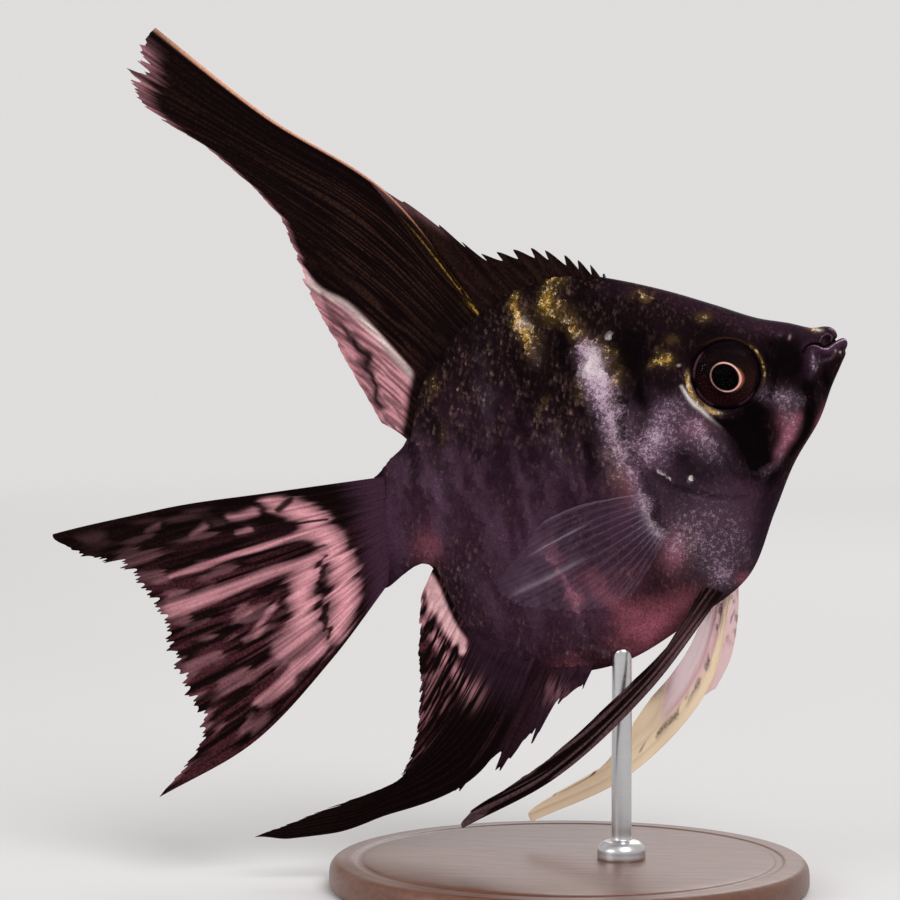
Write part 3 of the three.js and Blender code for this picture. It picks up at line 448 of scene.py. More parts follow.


# -------- markings of the body, with some painted light and shade

# Each marking has spots as (x, z, two sizes, tilt, strength), and strokes as (points, widths,
# strengths), all in the side view. It is 0 where it is absent and 1 where it is full.
MARKS = {
    "silver": (
        ((19.4, 65.4, 1.5, 2.4, 15, 1), (28, 57.2, 4, 3.8, 0, 0.44), (27.2, 56.2, 2.1, 2.2, 0, 0.42),
         (28.8, 60, 2.6, 1.6, 30, 0.3), (26.2, 54.1, 1.5, 1.6, 0, 0.36),
         (33.6, 55.8, 3.2, 1.7, -48, 0.5), (32.4, 58.2, 1.6, 1.2, -40, 0.4),
         (42, 61.6, 3.6, 1.3, -6, 0.5), (43.4, 58.6, 1.2, 2.4, 20, 0.38), (44.6, 61.2, 1, 0.9, 0, 0.35),
         (32.8, 46.8, 5.4, 4.6, 0, 0.36), (29.5, 42.6, 1.2, 2.2, 0, 0.28),
         (34.2, 41.6, 3.2, 3.8, -15, 0.3), (35.4, 39.6, 1.5, 2.2, 0, 0.5),
         (30.4, 44, 2.6, 2.4, 0, 0.26), (5.4, 66.3, 0.9, 2, 10, 0.2), (6.3, 60.6, 1.2, 3.6, 10, 0.24),
         (0.6, 51.6, 1.3, 3.2, 5, 0.2), (15.2, 56, 1.2, 2.6, 10, 0.17), (21.7, 69.1, 0.7, 0.6, 0, 0.4),
         (12.2, 67, 0.9, 1.6, 10, 0.28), (10.7, 70.6, 0.6, 1.2, 15, 0.35),
         (42.1, 69.2, 0.5, 0.35, 20, 0.34), (37.8, 43.6, 1.5, 3.6, 12, 0.24),
         (46.2, 65.7, 0.55, 1.1, 8, 0.5)),
        ((((18.6, 67.2), (19.1, 65.3), (20.4, 63.6), (21.3, 61.1), (21.9, 58.1), (22.9, 55.3),
          (24.4, 52.4), (25.8, 49.6)), (1.4, 1.9, 2.1, 2, 1.4), (0.72, 1, 0.74, 0.64, 0.48)),
         (((13.4, 45), (14.6, 42), (16, 38.8), (17.4, 35.2)), (0.8, 1.1), (0, 0.22, 0.26, 0.22)),
         (((20.6, 29), (19, 31.1), (18.6, 33)), (0.35, 0.4), (0.35, 0.2)),
         (((44, 59.6), (42.8, 55.7), (41.7, 53.4), (40.6, 52.4)), (0.7, 0.8), (0.12, 0.45, 0.4)),
         # This stroke along the top of the lower lip and round its tip is a painted highlight.
         (((45.05, 67.15), (45.55, 67.65), (46.2, 67.86), (46.8, 67.78), (47.4, 67.5), (48, 67.5),
          (48.5, 67.85), (49.2, 68.3), (49.9, 68.55), (50.4, 68.35), (50.6, 67.8), (50.4, 67.1)),
          (0.1, 0.1), (0.45, 0.85, 0.8, 0.8)),
         (((48.1, 69.85), (48.6, 69.7), (49, 69.2), (49.15, 68.7)), (0.11, 0.09), (0.7, 0.8)),
         (((26.1, 50.2), (26.5, 47.4), (28, 44.8)), (0.5, 0.7), (0.5, 0.6)),
         (LIP_LOOP, (0.08, 0.08), (0.45, 0.35)), (MAXILLA, (0.24, 0.28), (0.4, 0.34)),
         (((46.9, 66.6), (46.75, 65.6), (46.3, 64.4)), (0.13, 0.13), (0.35, 0.3)),
         (((49, 67.2), (48.4, 66.4), (47.1, 65.85)), (0.2, 0.25), (0.3, 0.24)))),
    "gold": (
        ((14.2, 75.6, 1.1, 0.8, 0, 0.85), (14, 73.2, 1.2, 1.5, 0, 1), (11.6, 69.4, 1, 2.8, 15, 0.3),
         (4.3, 73, 0.9, 0.8, 30, 0.75), (28.2, 66.1, 1, 0.8, 0, 0.95), (26.9, 65.8, 0.7, 0.7, 0, 0.6),
         (29, 68.5, 0.7, 0.5, 0, 0.42), (32.8, 71.3, 0.9, 0.6, 0, 0.55), (25.1, 74, 1.4, 0.6, 15, 0.65),
         (46.3, 69.8, 0.9, 0.34, -8, 1), (17.2, 69.8, 1, 0.9, 0, 0.65), (19, 68, 2, 1, -20, 0.45),
         (22.4, 63.6, 1, 1.6, -15, 0.6), (21.4, 66.6, 1.2, 1.2, -20, 0.45),
         (18.4, 62.6, 0.9, 2, 10, 0.3), (22.4, 53.4, 0.9, 3.4, 8, 0.35),
         (-0.7, 62.6, 0.7, 1.2, 0, 0.35), (0.4, 56.6, 0.6, 1.2, 0, 0.3),
         (13.2, 60.8, 0.6, 0.9, 0, 0.28), (15.6, 71.6, 2.2, 1.2, -20, 0.35), (31, 43.6, 1.6, 2, 0, 0.22)),
        ((((8.8, 74), (9.8, 71.6), (10.8, 69.4), (11.9, 66.6)), (0.6, 0.75, 0.7),
          (0.75, 0.9, 0.8, 0.5)),)),
    "white": (
        ((31.6, 51.6, 0.22, 0.3, 0, 1), (19.6, 65.2, 0.9, 1.5, 10, 0.65),
         (27.6, 56.3, 0.8, 0.9, 0, 0.15), (29.9, 65.5, 0.2, 0.1, 0, 0.7),
         (21.7, 69.1, 0.35, 0.25, 0, 0.6), (10.6, 70.7, 0.35, 0.6, 0, 0.55),
         (43.3, 68.85, 0.12, 0.26, -12, 0.42), (49.4, 67.04, 0.12, 0.15, 0, 0.55),
         (48.85, 67.25, 0.12, 0.16, 0, 0.3), (46.7, 69.75, 0.5, 0.15, -5, 0.7)),
        ((((30.3, 62.8), (31.3, 61.2), (33, 59.7), (34.1, 58.7), (35.4, 57.7)), (0.17, 0.25, 0.2, 0.14),
          (0.7, 1, 0.85, 0.2, 0)),
         # This stroke along the gill cover's lower rear edge is a painted glint.
         (((27.4, 52.6), (28.2, 51.9), (29.3, 51.2)), (0.13, 0.1), (0.5, 0.9)),
         (((26.2, 49.9), (26.6, 47.2), (28.1, 45)), (0.3, 0.42), (0.08, 0.14)))),
    "violet": (
        ((2, 49, 9, 6.5, 12, 0.75), (-6, 45.5, 5, 7.5, 0, 0.85), (12, 42, 8.5, 8.5, 0, 0.75),
         (16, 33.5, 8, 5, 20, 0.62), (21, 47.5, 8, 6, 0, 0.62), (10, 52, 8, 5, 0, 0.45),
         (28.6, 56.4, 5, 4.6, 0, 0.6), (39.5, 47, 4.5, 6.5, 20, 0.45), (8, 34.5, 6, 5.5, -35, 0.5),
         (45.4, 66, 1.3, 2.4, 0, 0.8), (40.5, 70.2, 3, 1, -10, 0.16), (36, 50, 5, 3, 0, 0.3),
         (6.5, 60, 5, 5, 0, 0.22)),
        ((((20.7, 75), (25.7, 74.6), (30.7, 73), (36.3, 70.9), (40.8, 70.2), (44, 69.8), (46.5, 69.6)),
          (1.1, 1.2, 1.2, 0.9), (0.2, 0.22, 0.24, 0.32)), (LOWER_LIP, (0.5, 0.5), (0.95, 0.85)),
         (((50.3, 67.7), (50.1, 68.35), (49.7, 68.7), (49.1, 68.6), (48.5, 68.25), (47.9, 67.8),
          (47.4, 67.62), (46.8, 67.9), (46, 67.9), (45.4, 67.6), (45, 67)), (0.13, 0.13), (1, 1, 0.9)),
         (UPPER_LIP, (0.2, 0.2), (1, 0.8)), (LIP_LOOP, (0.12, 0.12), (1, 0.8)),
         (JAW_LOBE, (0.5, 0.5), (0.8, 0.5)))),
    "dark": (
        ((24.2, 67.9, 3.2, 3.6, 0, 0.85), (25.2, 62.2, 1.5, 3.2, 10, 0.8), (43.2, 65.9, 2.6, 2.8, 0, 1),
         (30.7, 54.3, 1.8, 1.7, 0, 0.62), (9.7, 63.5, 2.6, 4, 0, 0.42), (-0.9, 67.8, 3.4, 3.4, 0, 0.8),
         (38.9, 60.4, 2.4, 1.5, -20, 0.75), (39.2, 57.6, 1.9, 3.2, 6, 0.95),
         (39.2, 54.4, 1.2, 2.2, 0, 0.9), (33.5, 69.7, 3.4, 1.6, -10, 0.55),
         (20.5, 72.5, 4, 1.9, 0, 0.45), (31.6, 66.6, 1.3, 2.6, 0, 0.45), (42, 68, 2.2, 1.1, 0, 0.55),
         (45.6, 62.4, 1.5, 1.9, 10, 0.85), (37.2, 55.8, 1.2, 2.6, 20, 0.5),
         (47.6, 69.7, 0.5, 0.26, 30, 0.6), (28.4, 63, 2.2, 1.5, 0, 0.55),
         (47.9, 63.6, 0.9, 2.2, 28, 0.75), (29.6, 58.2, 0.9, 0.8, 0, 0.35),
         (31.8, 51.8, 2.8, 1.8, 10, 0.42), (25.4, 57.6, 0.9, 1.4, 0, 0.35),
         (34.6, 53, 2, 1.6, -20, 0.35), (30.4, 49, 1.6, 1.6, 0, 0.2)),
        ((((15.6, 68.6), (16.5, 64.8), (18.2, 59.3), (19.8, 53.6)), (1.4, 1.3), (0.72, 0.35)),
         (((41.4, 52), (40.4, 47), (39.2, 43)), (1, 1.2), (0.45, 0.35)),
         (((6, 73), (10.5, 75), (16, 75.9), (21, 75.2)), (1, 1), (0.5, 0.25)),
         (((45.9, 60.6), (45.3, 57.2), (43.9, 55), (42.5, 53.2), (40.8, 51.2)), (0.8, 0.85),
          # The GAPE stroke at the end of the next line is painted shade in the mouth's crease.
          (0.9, 0.8, 0.45)), (GAPE, (0.16, 0.16), (0.9, 0.8)),
         # This stroke just behind the gill cover's edge is a painted shadow below the step there.
         (((23.2, 61.4), (23.1, 57.2), (24.8, 53.6), (26.6, 51.6)), (0.5, 0.5), (0.7, 0.5)),
         (PREOPERCLE[:5], (0.42, 0.42), (0.2, 0.45)),
         (((26.9, 50.8), (27.3, 48.4), (28.3, 45.4)), (0.42, 0.42), (0.5, 0.4)),
         (((40.6, 66.6), (41.5, 64), (41, 61.8)), (0.6, 0.6), (0.5, 0.6)))),
    "pink": (
        ((26.2, 33, 4.2, 2.3, 32, 0.95), (30.6, 36.2, 2.6, 1.8, 30, 0.36),
         (29.5, 42.4, 1.4, 2.3, 0, 0.55), (-1.4, 42.8, 1.8, 2.2, 0, 0.4), (24, 39, 3, 2.4, 60, 0.12),
         (37.7, 38.9, 1, 0.9, 0, 0.6), (43.3, 68.8, 0.35, 0.4, 0, 0.35),
         (16.4, 27.2, 2.2, 1.9, 0, 0.45), (32.2, 57.8, 1.6, 1.1, 0, 0.3), (24, 51.6, 1.4, 3.4, 0, 0.3),
         (17, 36.4, 0.9, 1.4, 0, 0.4), (43.2, 57.4, 1, 2.6, 22, 0.45)),
        ((((44.3, 59.2), (43.5, 57.4), (42.6, 55.4), (41.6, 53.8)), (0.7, 0.8), (0.55, 0.7, 0.35)),
         (((47.6, 60.8), (46.3, 57.6), (45, 54.8), (43.6, 51.6)), (0.36, 0.34), (0.2, 0.85, 0.3)),
         (((14, 43.8), (15.2, 41), (16.4, 38), (17.6, 35)), (0.7, 0.9), (0.1, 0.3, 0.42, 0.4)),
         (((19, 39.2), (22, 36), (26, 32.8)), (1.3, 2), (0.25, 0.5, 0.45)))),
}
# The point layers of the skin and scales, and the markings that each one holds.
MARK_LAYERS = {"bright": ("silver", "gold", "white"), "deep": ("violet", "dark", "pink")}
# Where the left and right sides take the noise that shifts their marks.
SIDE_SHIFT = 0.4


def body_marks(x, z, side):
    """The markings at side-view places, each from 0 to 1, as the point layers of a mesh.

    A marking is 1 less the product of (1 - m) over its spots and strokes m. Places are shifted by up
    to a millimetre of smooth noise, which makes the edges wander, and by a tenth of that on the head's
    front. Stretched noise then gives the flank upright stripes, and painted shade darkens the dip
    behind the eye.
    """
    wander = 1.5 * (1 - 0.9 * smooth(x, 25, 30.5))
    near_x = x + (noise(x / 1.3, z / 1.3, 3.3 + side) - 0.5) * wander
    near_z = z + (noise(x / 1.3, z / 1.3, 9.7 + side) - 0.5) * wander * 1.4
    marks = {}
    for key, (spots, strokes) in MARKS.items():
        clear = np.ones_like(x)
        for mid_x, mid_z, wide, tall, tilt, strength in spots:
            clear *= 1 - strength * blob(near_x, near_z, (mid_x, mid_z), (wide, tall), tilt)
        for points, widths, strengths in strokes:
            clear *= 1 - near_stroke(near_x, near_z, points, widths, strengths)
        marks[key] = 1 - clear
    lean = x + 0.25 * (z - 55)
    sway = 0.36 * noise(lean / 0.7, z / 3.0, 4.4) + 0.32 * noise(lean / 1.9, z / 9.0, 8.1) \
        + 0.18 * noise(x / 1.3, z / 1.7, 2.2) + 0.14 * noise(x / 0.45, z / 0.6, 6.6)
    flank = plateau(x, -7.5, -4, 18, 24)
    light = flank * smooth(sway, 0.34, 0.66)
    shade = flank - light
    past, along = line_offset(x, z, CHEEK)
    # A painted shadow: the dip between the cheek's ridge and the orbit is darkened and loses its silver.
    painted_shadow = plateau(past, 0.05, 0.45, 2, 4.2) * plateau(along, 0.02, 0.2, 0.9, 1)
    painted_shadow = painted_shadow * smooth(np.hypot(x - EYE_X, z - EYE_Z), 5, 5.6)
    gold, white = orbit_marks(x, z)
    marks["violet"] *= 1 - 0.35 * shade
    marks["silver"] = union(marks["silver"], 0.15 * light * plateau(z, 28, 36, 52, 62))
    marks["silver"] *= 1 - 0.85 * painted_shadow
    marks["dark"] = union(marks["dark"], 0.42 * shade * smooth(z, 42, 56), 0.97 * painted_shadow)
    marks["gold"] = union(marks["gold"], gold)
    marks["white"] = union(marks["white"], white)
    return {layer: np.stack([marks[key] for key in keys], -1) for layer, keys in MARK_LAYERS.items()}


def eye_polar(x, z):
    """The distance from the middle of the eye, and the turn about it from +X in degrees, -180 to 180."""
    return np.hypot(x - EYE_X, z - EYE_Z), np.degrees(np.arctan2(z - EYE_Z, x - EYE_X))


def orbit_marks(x, z):
    """Gold and white round the orbit: bands about a radius, each over a range of turns."""
    radius, turn = eye_polar(x, z)
    front = plateau(turn, -25, 4, 38, 62) * bell(radius - 4.7, 0.17)
    top = plateau(turn, 45, 65, 112, 132) * bell(radius - 4.56, 0.1)
    turn = turn % 360
    mottle = noise(turn * 0.16, radius * 3.0, 5)
    band = plateau(turn, 164, 184, 252, 272) * plateau(radius, 4.28, 4.42, 4.85, 5.05)
    gold = union(0.68 * front, 0.3 * top, band * (0.72 + 0.28 * smooth(mottle, 0.3, 0.6)))
    return gold, 0.1 * band * smooth(mottle, 0.46, 0.62)


def near_stroke(x, z, points, widths, strengths):
    """A stroke, worked out only for the places close enough to it to be marked."""
    reach = 2.6 * max(widths)
    low, high = np.min(points, axis=0) - reach, np.max(points, axis=0) + reach
    near = (x > low[0]) & (x < high[0]) & (z > low[1]) & (z < high[1])
    mark = np.zeros_like(x)
    if near.any():
        mark[near] = stroke(x[near], z[near], points, widths, strengths)
    return mark


# -------- meshes

def grid_faces(rows, columns, closed=False):
    """Quads over a grid numbered row by row, joined round its columns where it is closed."""
    row = np.arange(rows - 1)[:, None] * columns
    column = np.arange(columns if closed else columns - 1)[None, :]
    after = (column + 1) % columns
    corners = (row + column, row + columns + column, row + columns + after, row + after)
    return np.stack(corners, -1).reshape(-1, 4)


def grid_rim(rows, columns):
    """The numbers of a grid's border points in order round it."""
    index = np.arange(rows * columns).reshape(rows, columns)
    return np.concatenate([index[:-1, 0], index[-1, :-1], index[:0:-1, -1], index[0, :0:-1]])


def capped_rings(places, inward=False):
    """A grid of rings closed at both ends by fans, with its faces turned round if inward."""
    rows, columns = places.shape[:2]
    points = np.concatenate([places.reshape(-1, 3), places[0].mean(0)[None], places[-1].mean(0)[None]])
    here = np.arange(columns)
    after = (here + 1) % columns
    count, last = rows * columns, (rows - 1) * columns
    caps = np.concatenate([np.stack([np.full(columns, count), here, after], -1),
                           np.stack([np.full(columns, count + 1), last + after, last + here], -1)])
    faces = [grid_faces(rows, columns, closed=True), caps]
    return points, [face[:, ::-1] for face in faces] if inward else faces


def grid_normals(places, closed=False):
    """Unit normals of a grid of places, from the cross product of its steps down and across."""
    if closed:
        across = np.roll(places, -1, axis=1) - np.roll(places, 1, axis=1)
    else:
        across = np.gradient(places, axis=1)
    out = np.cross(np.gradient(places, axis=0), across)
    length = np.linalg.norm(out, axis=-1, keepdims=True)
    return out / np.where(length < 1e-12, 1, length)


def mesh_object(name, places, faces, layers=None, bake_map=None, smooth_sets=None):
    """A mesh from places in millimetres, arrays of faces, point layers and a UV map. Its faces are
    smooth, or only the arrays of them that smooth_sets says, with sharp edges round the others."""
    corners = np.concatenate([face.ravel() for face in faces])
    counts = np.concatenate([np.full(len(face), face.shape[1]) for face in faces])
    mesh = bpy.data.meshes.new(name)
    mesh.vertices.add(len(places))
    mesh.vertices.foreach_set("co", (np.asarray(places) * MM).astype(np.float32).ravel())
    mesh.loops.add(len(corners))
    mesh.loops.foreach_set("vertex_index", corners.astype(np.int32))
    mesh.polygons.add(len(counts))
    mesh.polygons.foreach_set("loop_start", (np.cumsum(counts) - counts).astype(np.int32))
    kinds = smooth_sets or [True] * len(faces)
    rounded = np.repeat(kinds, [len(face) for face in faces])
    mesh.polygons.foreach_set("use_smooth", rounded)
    for key, values in (layers or {}).items():
        layer = mesh.attributes.new(key, "FLOAT_VECTOR", "POINT")
        layer.data.foreach_set("vector", np.asarray(values, np.float32).ravel())
    if bake_map is not None:
        mesh.uv_layers.new(name="OFBake").data.foreach_set("uv", bake_map.astype(np.float32).ravel())
    mesh.update(calc_edges=True)
    if smooth_sets:
        edges = np.zeros(len(corners), np.int32)
        mesh.loops.foreach_get("edge_index", edges)
        sharp = np.zeros(len(mesh.edges), bool)
        sharp[edges[~np.repeat(rounded, counts)]] = True
        mesh.edges.foreach_set("use_edge_sharp", sharp)
    mesh.validate()
    thing = bpy.data.objects.new(name, mesh)
    bpy.context.scene.collection.objects.link(thing)
    return thing


def place_piece(thing, material, slot, *nodes):
    """Gives a piece its material and hides the nodes that it stands for. The slot is not used."""
    thing.data.materials.append(material)
    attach(thing, BODY)
    if nodes:
        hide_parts(*nodes)


# -------- shader maths

class Wire:
    """A value that runs through a tree of nodes. Arithmetic on wires adds Math nodes."""

    def __init__(self, nodes, socket):
        self.nodes = nodes
        self.socket = socket

    def maths(self, operation, first, second=0.0):
        return self.nodes.node("ShaderNodeMath", {0: first, 1: second}, operation=operation)

    def __add__(self, other):
        return self.maths("ADD", self, other)

    def __radd__(self, other):
        return self.maths("ADD", other, self)

    def __sub__(self, other):
        return self.maths("SUBTRACT", self, other)

    def __rsub__(self, other):
        return self.maths("SUBTRACT", other, self)

    def __mul__(self, other):
        return self.maths("MULTIPLY", self, other)

    def __rmul__(self, other):
        return self.maths("MULTIPLY", other, self)

    def most(self, other):
        return self.maths("MAXIMUM", self, other)

    def least(self, other):
        return self.maths("MINIMUM", self, other)

    def step(self, low, high):
        """A smooth step of the value, 0 at low and 1 at high."""
        return self.nodes.node("ShaderNodeMapRange", {0: self, 1: low, 2: high, 3: 0.0, 4: 1.0},
                               interpolation_type="SMOOTHSTEP")

    def parts(self):
        """The outputs of the node that this value comes from."""
        return [Wire(self.nodes, socket) for socket in self.socket.node.outputs]


class Nodes:
    """A tree of nodes under construction, and the node that it ends in."""

    def __init__(self, tree, end):
        self.tree = tree
        tree.nodes.clear()
        self.end = tree.nodes.new(end)

    def node(self, kind, inputs=None, output=0, **settings):
        """Adds a node: its settings first, then its sockets' values or links. Returns one output."""
        node = self.tree.nodes.new(kind)
        for key, value in settings.items():
            setattr(node, key, value)
        for key, value in (inputs or {}).items():
            self.connect(value, node.inputs[key])
        return Wire(self, node.outputs[output])

    def connect(self, value, socket):
        """Links a wire to a socket, or sets the socket to a plain value."""
        if isinstance(value, Wire):
            self.tree.links.new(value.socket, socket)
        else:
            socket.default_value = value

    def rays(self, *kinds):
        """1 for light rays of any of the kinds and 0 for others."""
        path = self.node("ShaderNodeLightPath").socket.node
        first, *others = (Wire(self, path.outputs["Is " + kind + " Ray"]) for kind in kinds)
        for other in others:
            first = first.most(other)
        return first


class Paint(Nodes):
    """One material under construction: its nodes, and the Principled shader that they feed."""

    def __init__(self, name, **constants):
        self.material = bpy.data.materials.new(name)
        self.material.use_nodes = True
        super().__init__(self.material.node_tree, "ShaderNodeOutputMaterial")
        shine = self.node("ShaderNodeBsdfPrincipled")
        self.shader = shine.socket.node
        self.connect(shine, self.end.inputs[0])
        self.feed(**constants)
        self.place = self.node("ShaderNodeTexCoord", output="Object")

    def feed(self, **values):
        """Links or sets the shader's sockets, whose spaces are written as underscores."""
        for key, value in values.items():
            self.connect(value, self.shader.inputs[key.replace("_", " ")])

    def layer(self, name):
        """The three numbers of a mesh's point layer."""
        vector = self.node("ShaderNodeAttribute", output="Vector", attribute_name=name)
        return self.node("ShaderNodeSeparateXYZ", {0: vector}).parts()

    def noise(self, size, detail=2.0, roughness=0.55, stretch=None):
        """Noise from 0 to 1 whose features are about size across, in millimetres."""
        place = self.place
        if stretch:
            place = self.node("ShaderNodeMapping", {0: place, 3: stretch})
        return self.node("ShaderNodeTexNoise", {"Vector": place, "Scale": 1 / (size * MM),
                                                "Detail": detail, "Roughness": roughness})

    def mix(self, share, first, second):
        """One colour turning into another as the share goes from 0 to 1."""
        first, second = (value if isinstance(value, Wire) else (*value[:3], 1.0)
                         for value in (first, second))
        return self.node("ShaderNodeMix", {0: share, 6: first, 7: second}, output=2,
                         data_type="RGBA", clamp_factor=True)

    def coats(self, colour, *coats):
        """A colour under coats of others in turn, each of which covers by its own share."""
        for share, coat in coats:
            colour = self.mix(share, colour, coat)
        return colour

    def bump(self, height, distance, strength=1.0):
        """Feeds the shader's normal from a height, where 1 stands for the distance in millimetres."""
        self.feed(Normal=self.node("ShaderNodeBump", {"Strength": strength, "Distance": distance * MM,
                                                      "Height": height}))

    def glow_far(self, colour, near, far):
        """Shows the plain colour to the camera and in reflections past a distance from the middle, in
        metres, and the lit surface before it."""
        depth = self.node("ShaderNodeVectorMath", {0: self.place}, output=1, operation="LENGTH")
        glow = self.node("ShaderNodeEmission", {"Color": (*colour, 1.0), "Strength": 1.0})
        share = depth.step(near, far) * self.rays("Camera", "Glossy")
        lit = Wire(self, self.shader.outputs[0])
        self.connect(self.node("ShaderNodeMixShader", {0: share, 1: lit, 2: glow}), self.end.inputs[0])


# -------- properties

def colour_property(name, description, value):
    """A colour for the sidebar, as linear red, green and blue."""
    return FloatVectorProperty(name=name, description=description, subtype="COLOR", size=3,
                               min=0.0, max=1.0, default=value)


def length_property(name, description, millimetres):
    """A length for the sidebar, kept in metres."""
    return FloatProperty(name=name, description=description, subtype="DISTANCE", unit="LENGTH",
                         min=0.0, default=millimetres * MM)


class BodySettings(bpy.types.PropertyGroup):
    """Colours of the skin and scales, and how fine the skin is."""

    black: colour_property("Black", "Darkest skin", (0.0018, 0.0007, 0.0012))
    ground: colour_property("Ground", "Skin between the markings", (0.0085, 0.003, 0.0042))
    brown: colour_property("Brown", "Light flecks of the flank", (0.19, 0.108, 0.088))
    violet: colour_property("Violet", "Sheen of the belly, forehead and stalk", (0.074, 0.031, 0.061))
    silver: colour_property("Silver", "Bars and gill cover", (0.47, 0.31, 0.43))
    gold: colour_property("Gold", "Golden flecks", (0.5, 0.29, 0.055))
    # White: the skin's white marks, and the colour of its painted glints.
    white: colour_property("White", "Brightest glints", (0.84, 0.76, 0.74))
    pink: colour_property("Pink", "Belly and jaw", (0.38, 0.105, 0.145))
    rings: IntProperty(name="Rings", description="Rings of the skin from mouth to tail",
                       default=430, min=40, max=600)
    columns: IntProperty(name="Columns", description="Points round each ring of the skin",
                         default=480, min=40, max=600)
    inset: length_property("Inset", "Depth of the skin under the scales' crowns", 0.12)


class ScaleSettings(bpy.types.PropertyGroup):
    """Sizes of the scales on the trunk. Those of the head are smaller by the head share."""

    length: length_property("Length", "Length of one scale with its covered root", 2.2)
    width: length_property("Width", "Width of one scale", 1.34)
    pitch: length_property("Pitch", "Distance between scales along a row", 1.16)
    row: length_property("Row", "Distance between rows of scales", 0.54)
    lift: length_property("Lift", "How far a scale's free edge stands off the skin", 0.036)
    head_share: FloatProperty(name="Head share", description="Size of the head's scales to the trunk's",
                              subtype="FACTOR", default=0.7, min=0.2, max=1.0)


class FinSettings(bpy.types.PropertyGroup):
    """Colours and thickness of the fins."""

    black: colour_property("Black", "Darkest web", (0.004, 0.0014, 0.0018))
    brown: colour_property("Brown", "Rays in the dark web", (0.052, 0.022, 0.015))
    plum: colour_property("Plum", "Mottled web of the tail", (0.105, 0.028, 0.038))
    pale: colour_property("Pale", "Clear web of the tail, dorsal and anal fins", (0.78, 0.36, 0.41))
    edge: colour_property("Edge", "Light leading edge of the dorsal fin", (0.76, 0.37, 0.24))
    base: colour_property("Base", "Root of the tail fin", (0.05, 0.021, 0.038))
    cream: colour_property("Cream", "Main ray of the light pelvic fin", (0.95, 0.75, 0.52))
    clear: colour_property("Clear", "Web of the pectoral fins", (0.22, 0.16, 0.23))
    web: length_property("Web", "Thickness of a fin's web at its edge", 0.1)
    root: length_property("Root", "Thickness of a fin where it leaves the body", 1.5)


class EyeSettings(bpy.types.PropertyGroup):
    """Size and colours of the eyes."""

    radius: length_property("Radius", "Radius of an eyeball across the iris", 4.62)
    pupil: length_property("Pupil", "Radius of the pupil", 1.66)
    iris: colour_property("Iris", "Chestnut of the iris", (0.0062, 0.002, 0.0024))
    # The ring is a painted highlight: the lit rim of the lens, seen through the pupil.
    ring: colour_property("Ring", "Bright ring round the pupil", (0.8, 0.44, 0.38))


class StandSettings(bpy.types.PropertyGroup):
    """Finish of the display stand."""

    wood: colour_property("Wood", "Light grain of the base", (0.15, 0.052, 0.024))
    grain: colour_property("Grain", "Dark grain of the base", (0.085, 0.028, 0.014))
    steel: colour_property("Steel", "Rod and collar", (0.62, 0.62, 0.63))


class StageSettings(bpy.types.PropertyGroup):
    """Floor, lamps and camera."""

    floor: colour_property("Floor", "Floor and backdrop", (0.74, 0.72, 0.72))
    key: FloatProperty(name="Key", description="Power of the main lamp", unit="POWER", default=3.4, min=0)
    fill: FloatProperty(name="Fill", description="Power of each other lamp", unit="POWER", default=1.5,
                        min=0)
    sky: FloatProperty(name="Sky", description="Strength of the even light", default=0.55, min=0)
    azimuth: FloatProperty(name="Azimuth", description="Camera's turn from the fish's right side",
                           subtype="ANGLE", default=math.radians(8))
    elevation: FloatProperty(name="Elevation", description="Camera's height over the middle of the fish",
                             subtype="ANGLE", default=math.radians(3))
    distance: length_property("Distance", "Camera's distance from the middle of the fish", 420)
    view: length_property("View", "Half of the width that the camera sees there", 56.25)


# -------- skin

def skin_places(shares, heights, sides, inset):
    """Places on the finished skin: the plain body moved along its normal by the relief less the inset.

    shares run down a grid, heights and sides (-1 right, 1 left) run round it. The grid is closed.
    """
    places = body_place(np.repeat(shares, len(heights)), np.tile(heights, len(shares)))
    places = places.reshape(len(shares), -1, 3)
    places[..., 1] *= sides
    return places + grid_normals(places, closed=True) * (relief(*side_view(places)) - inset)[..., None]


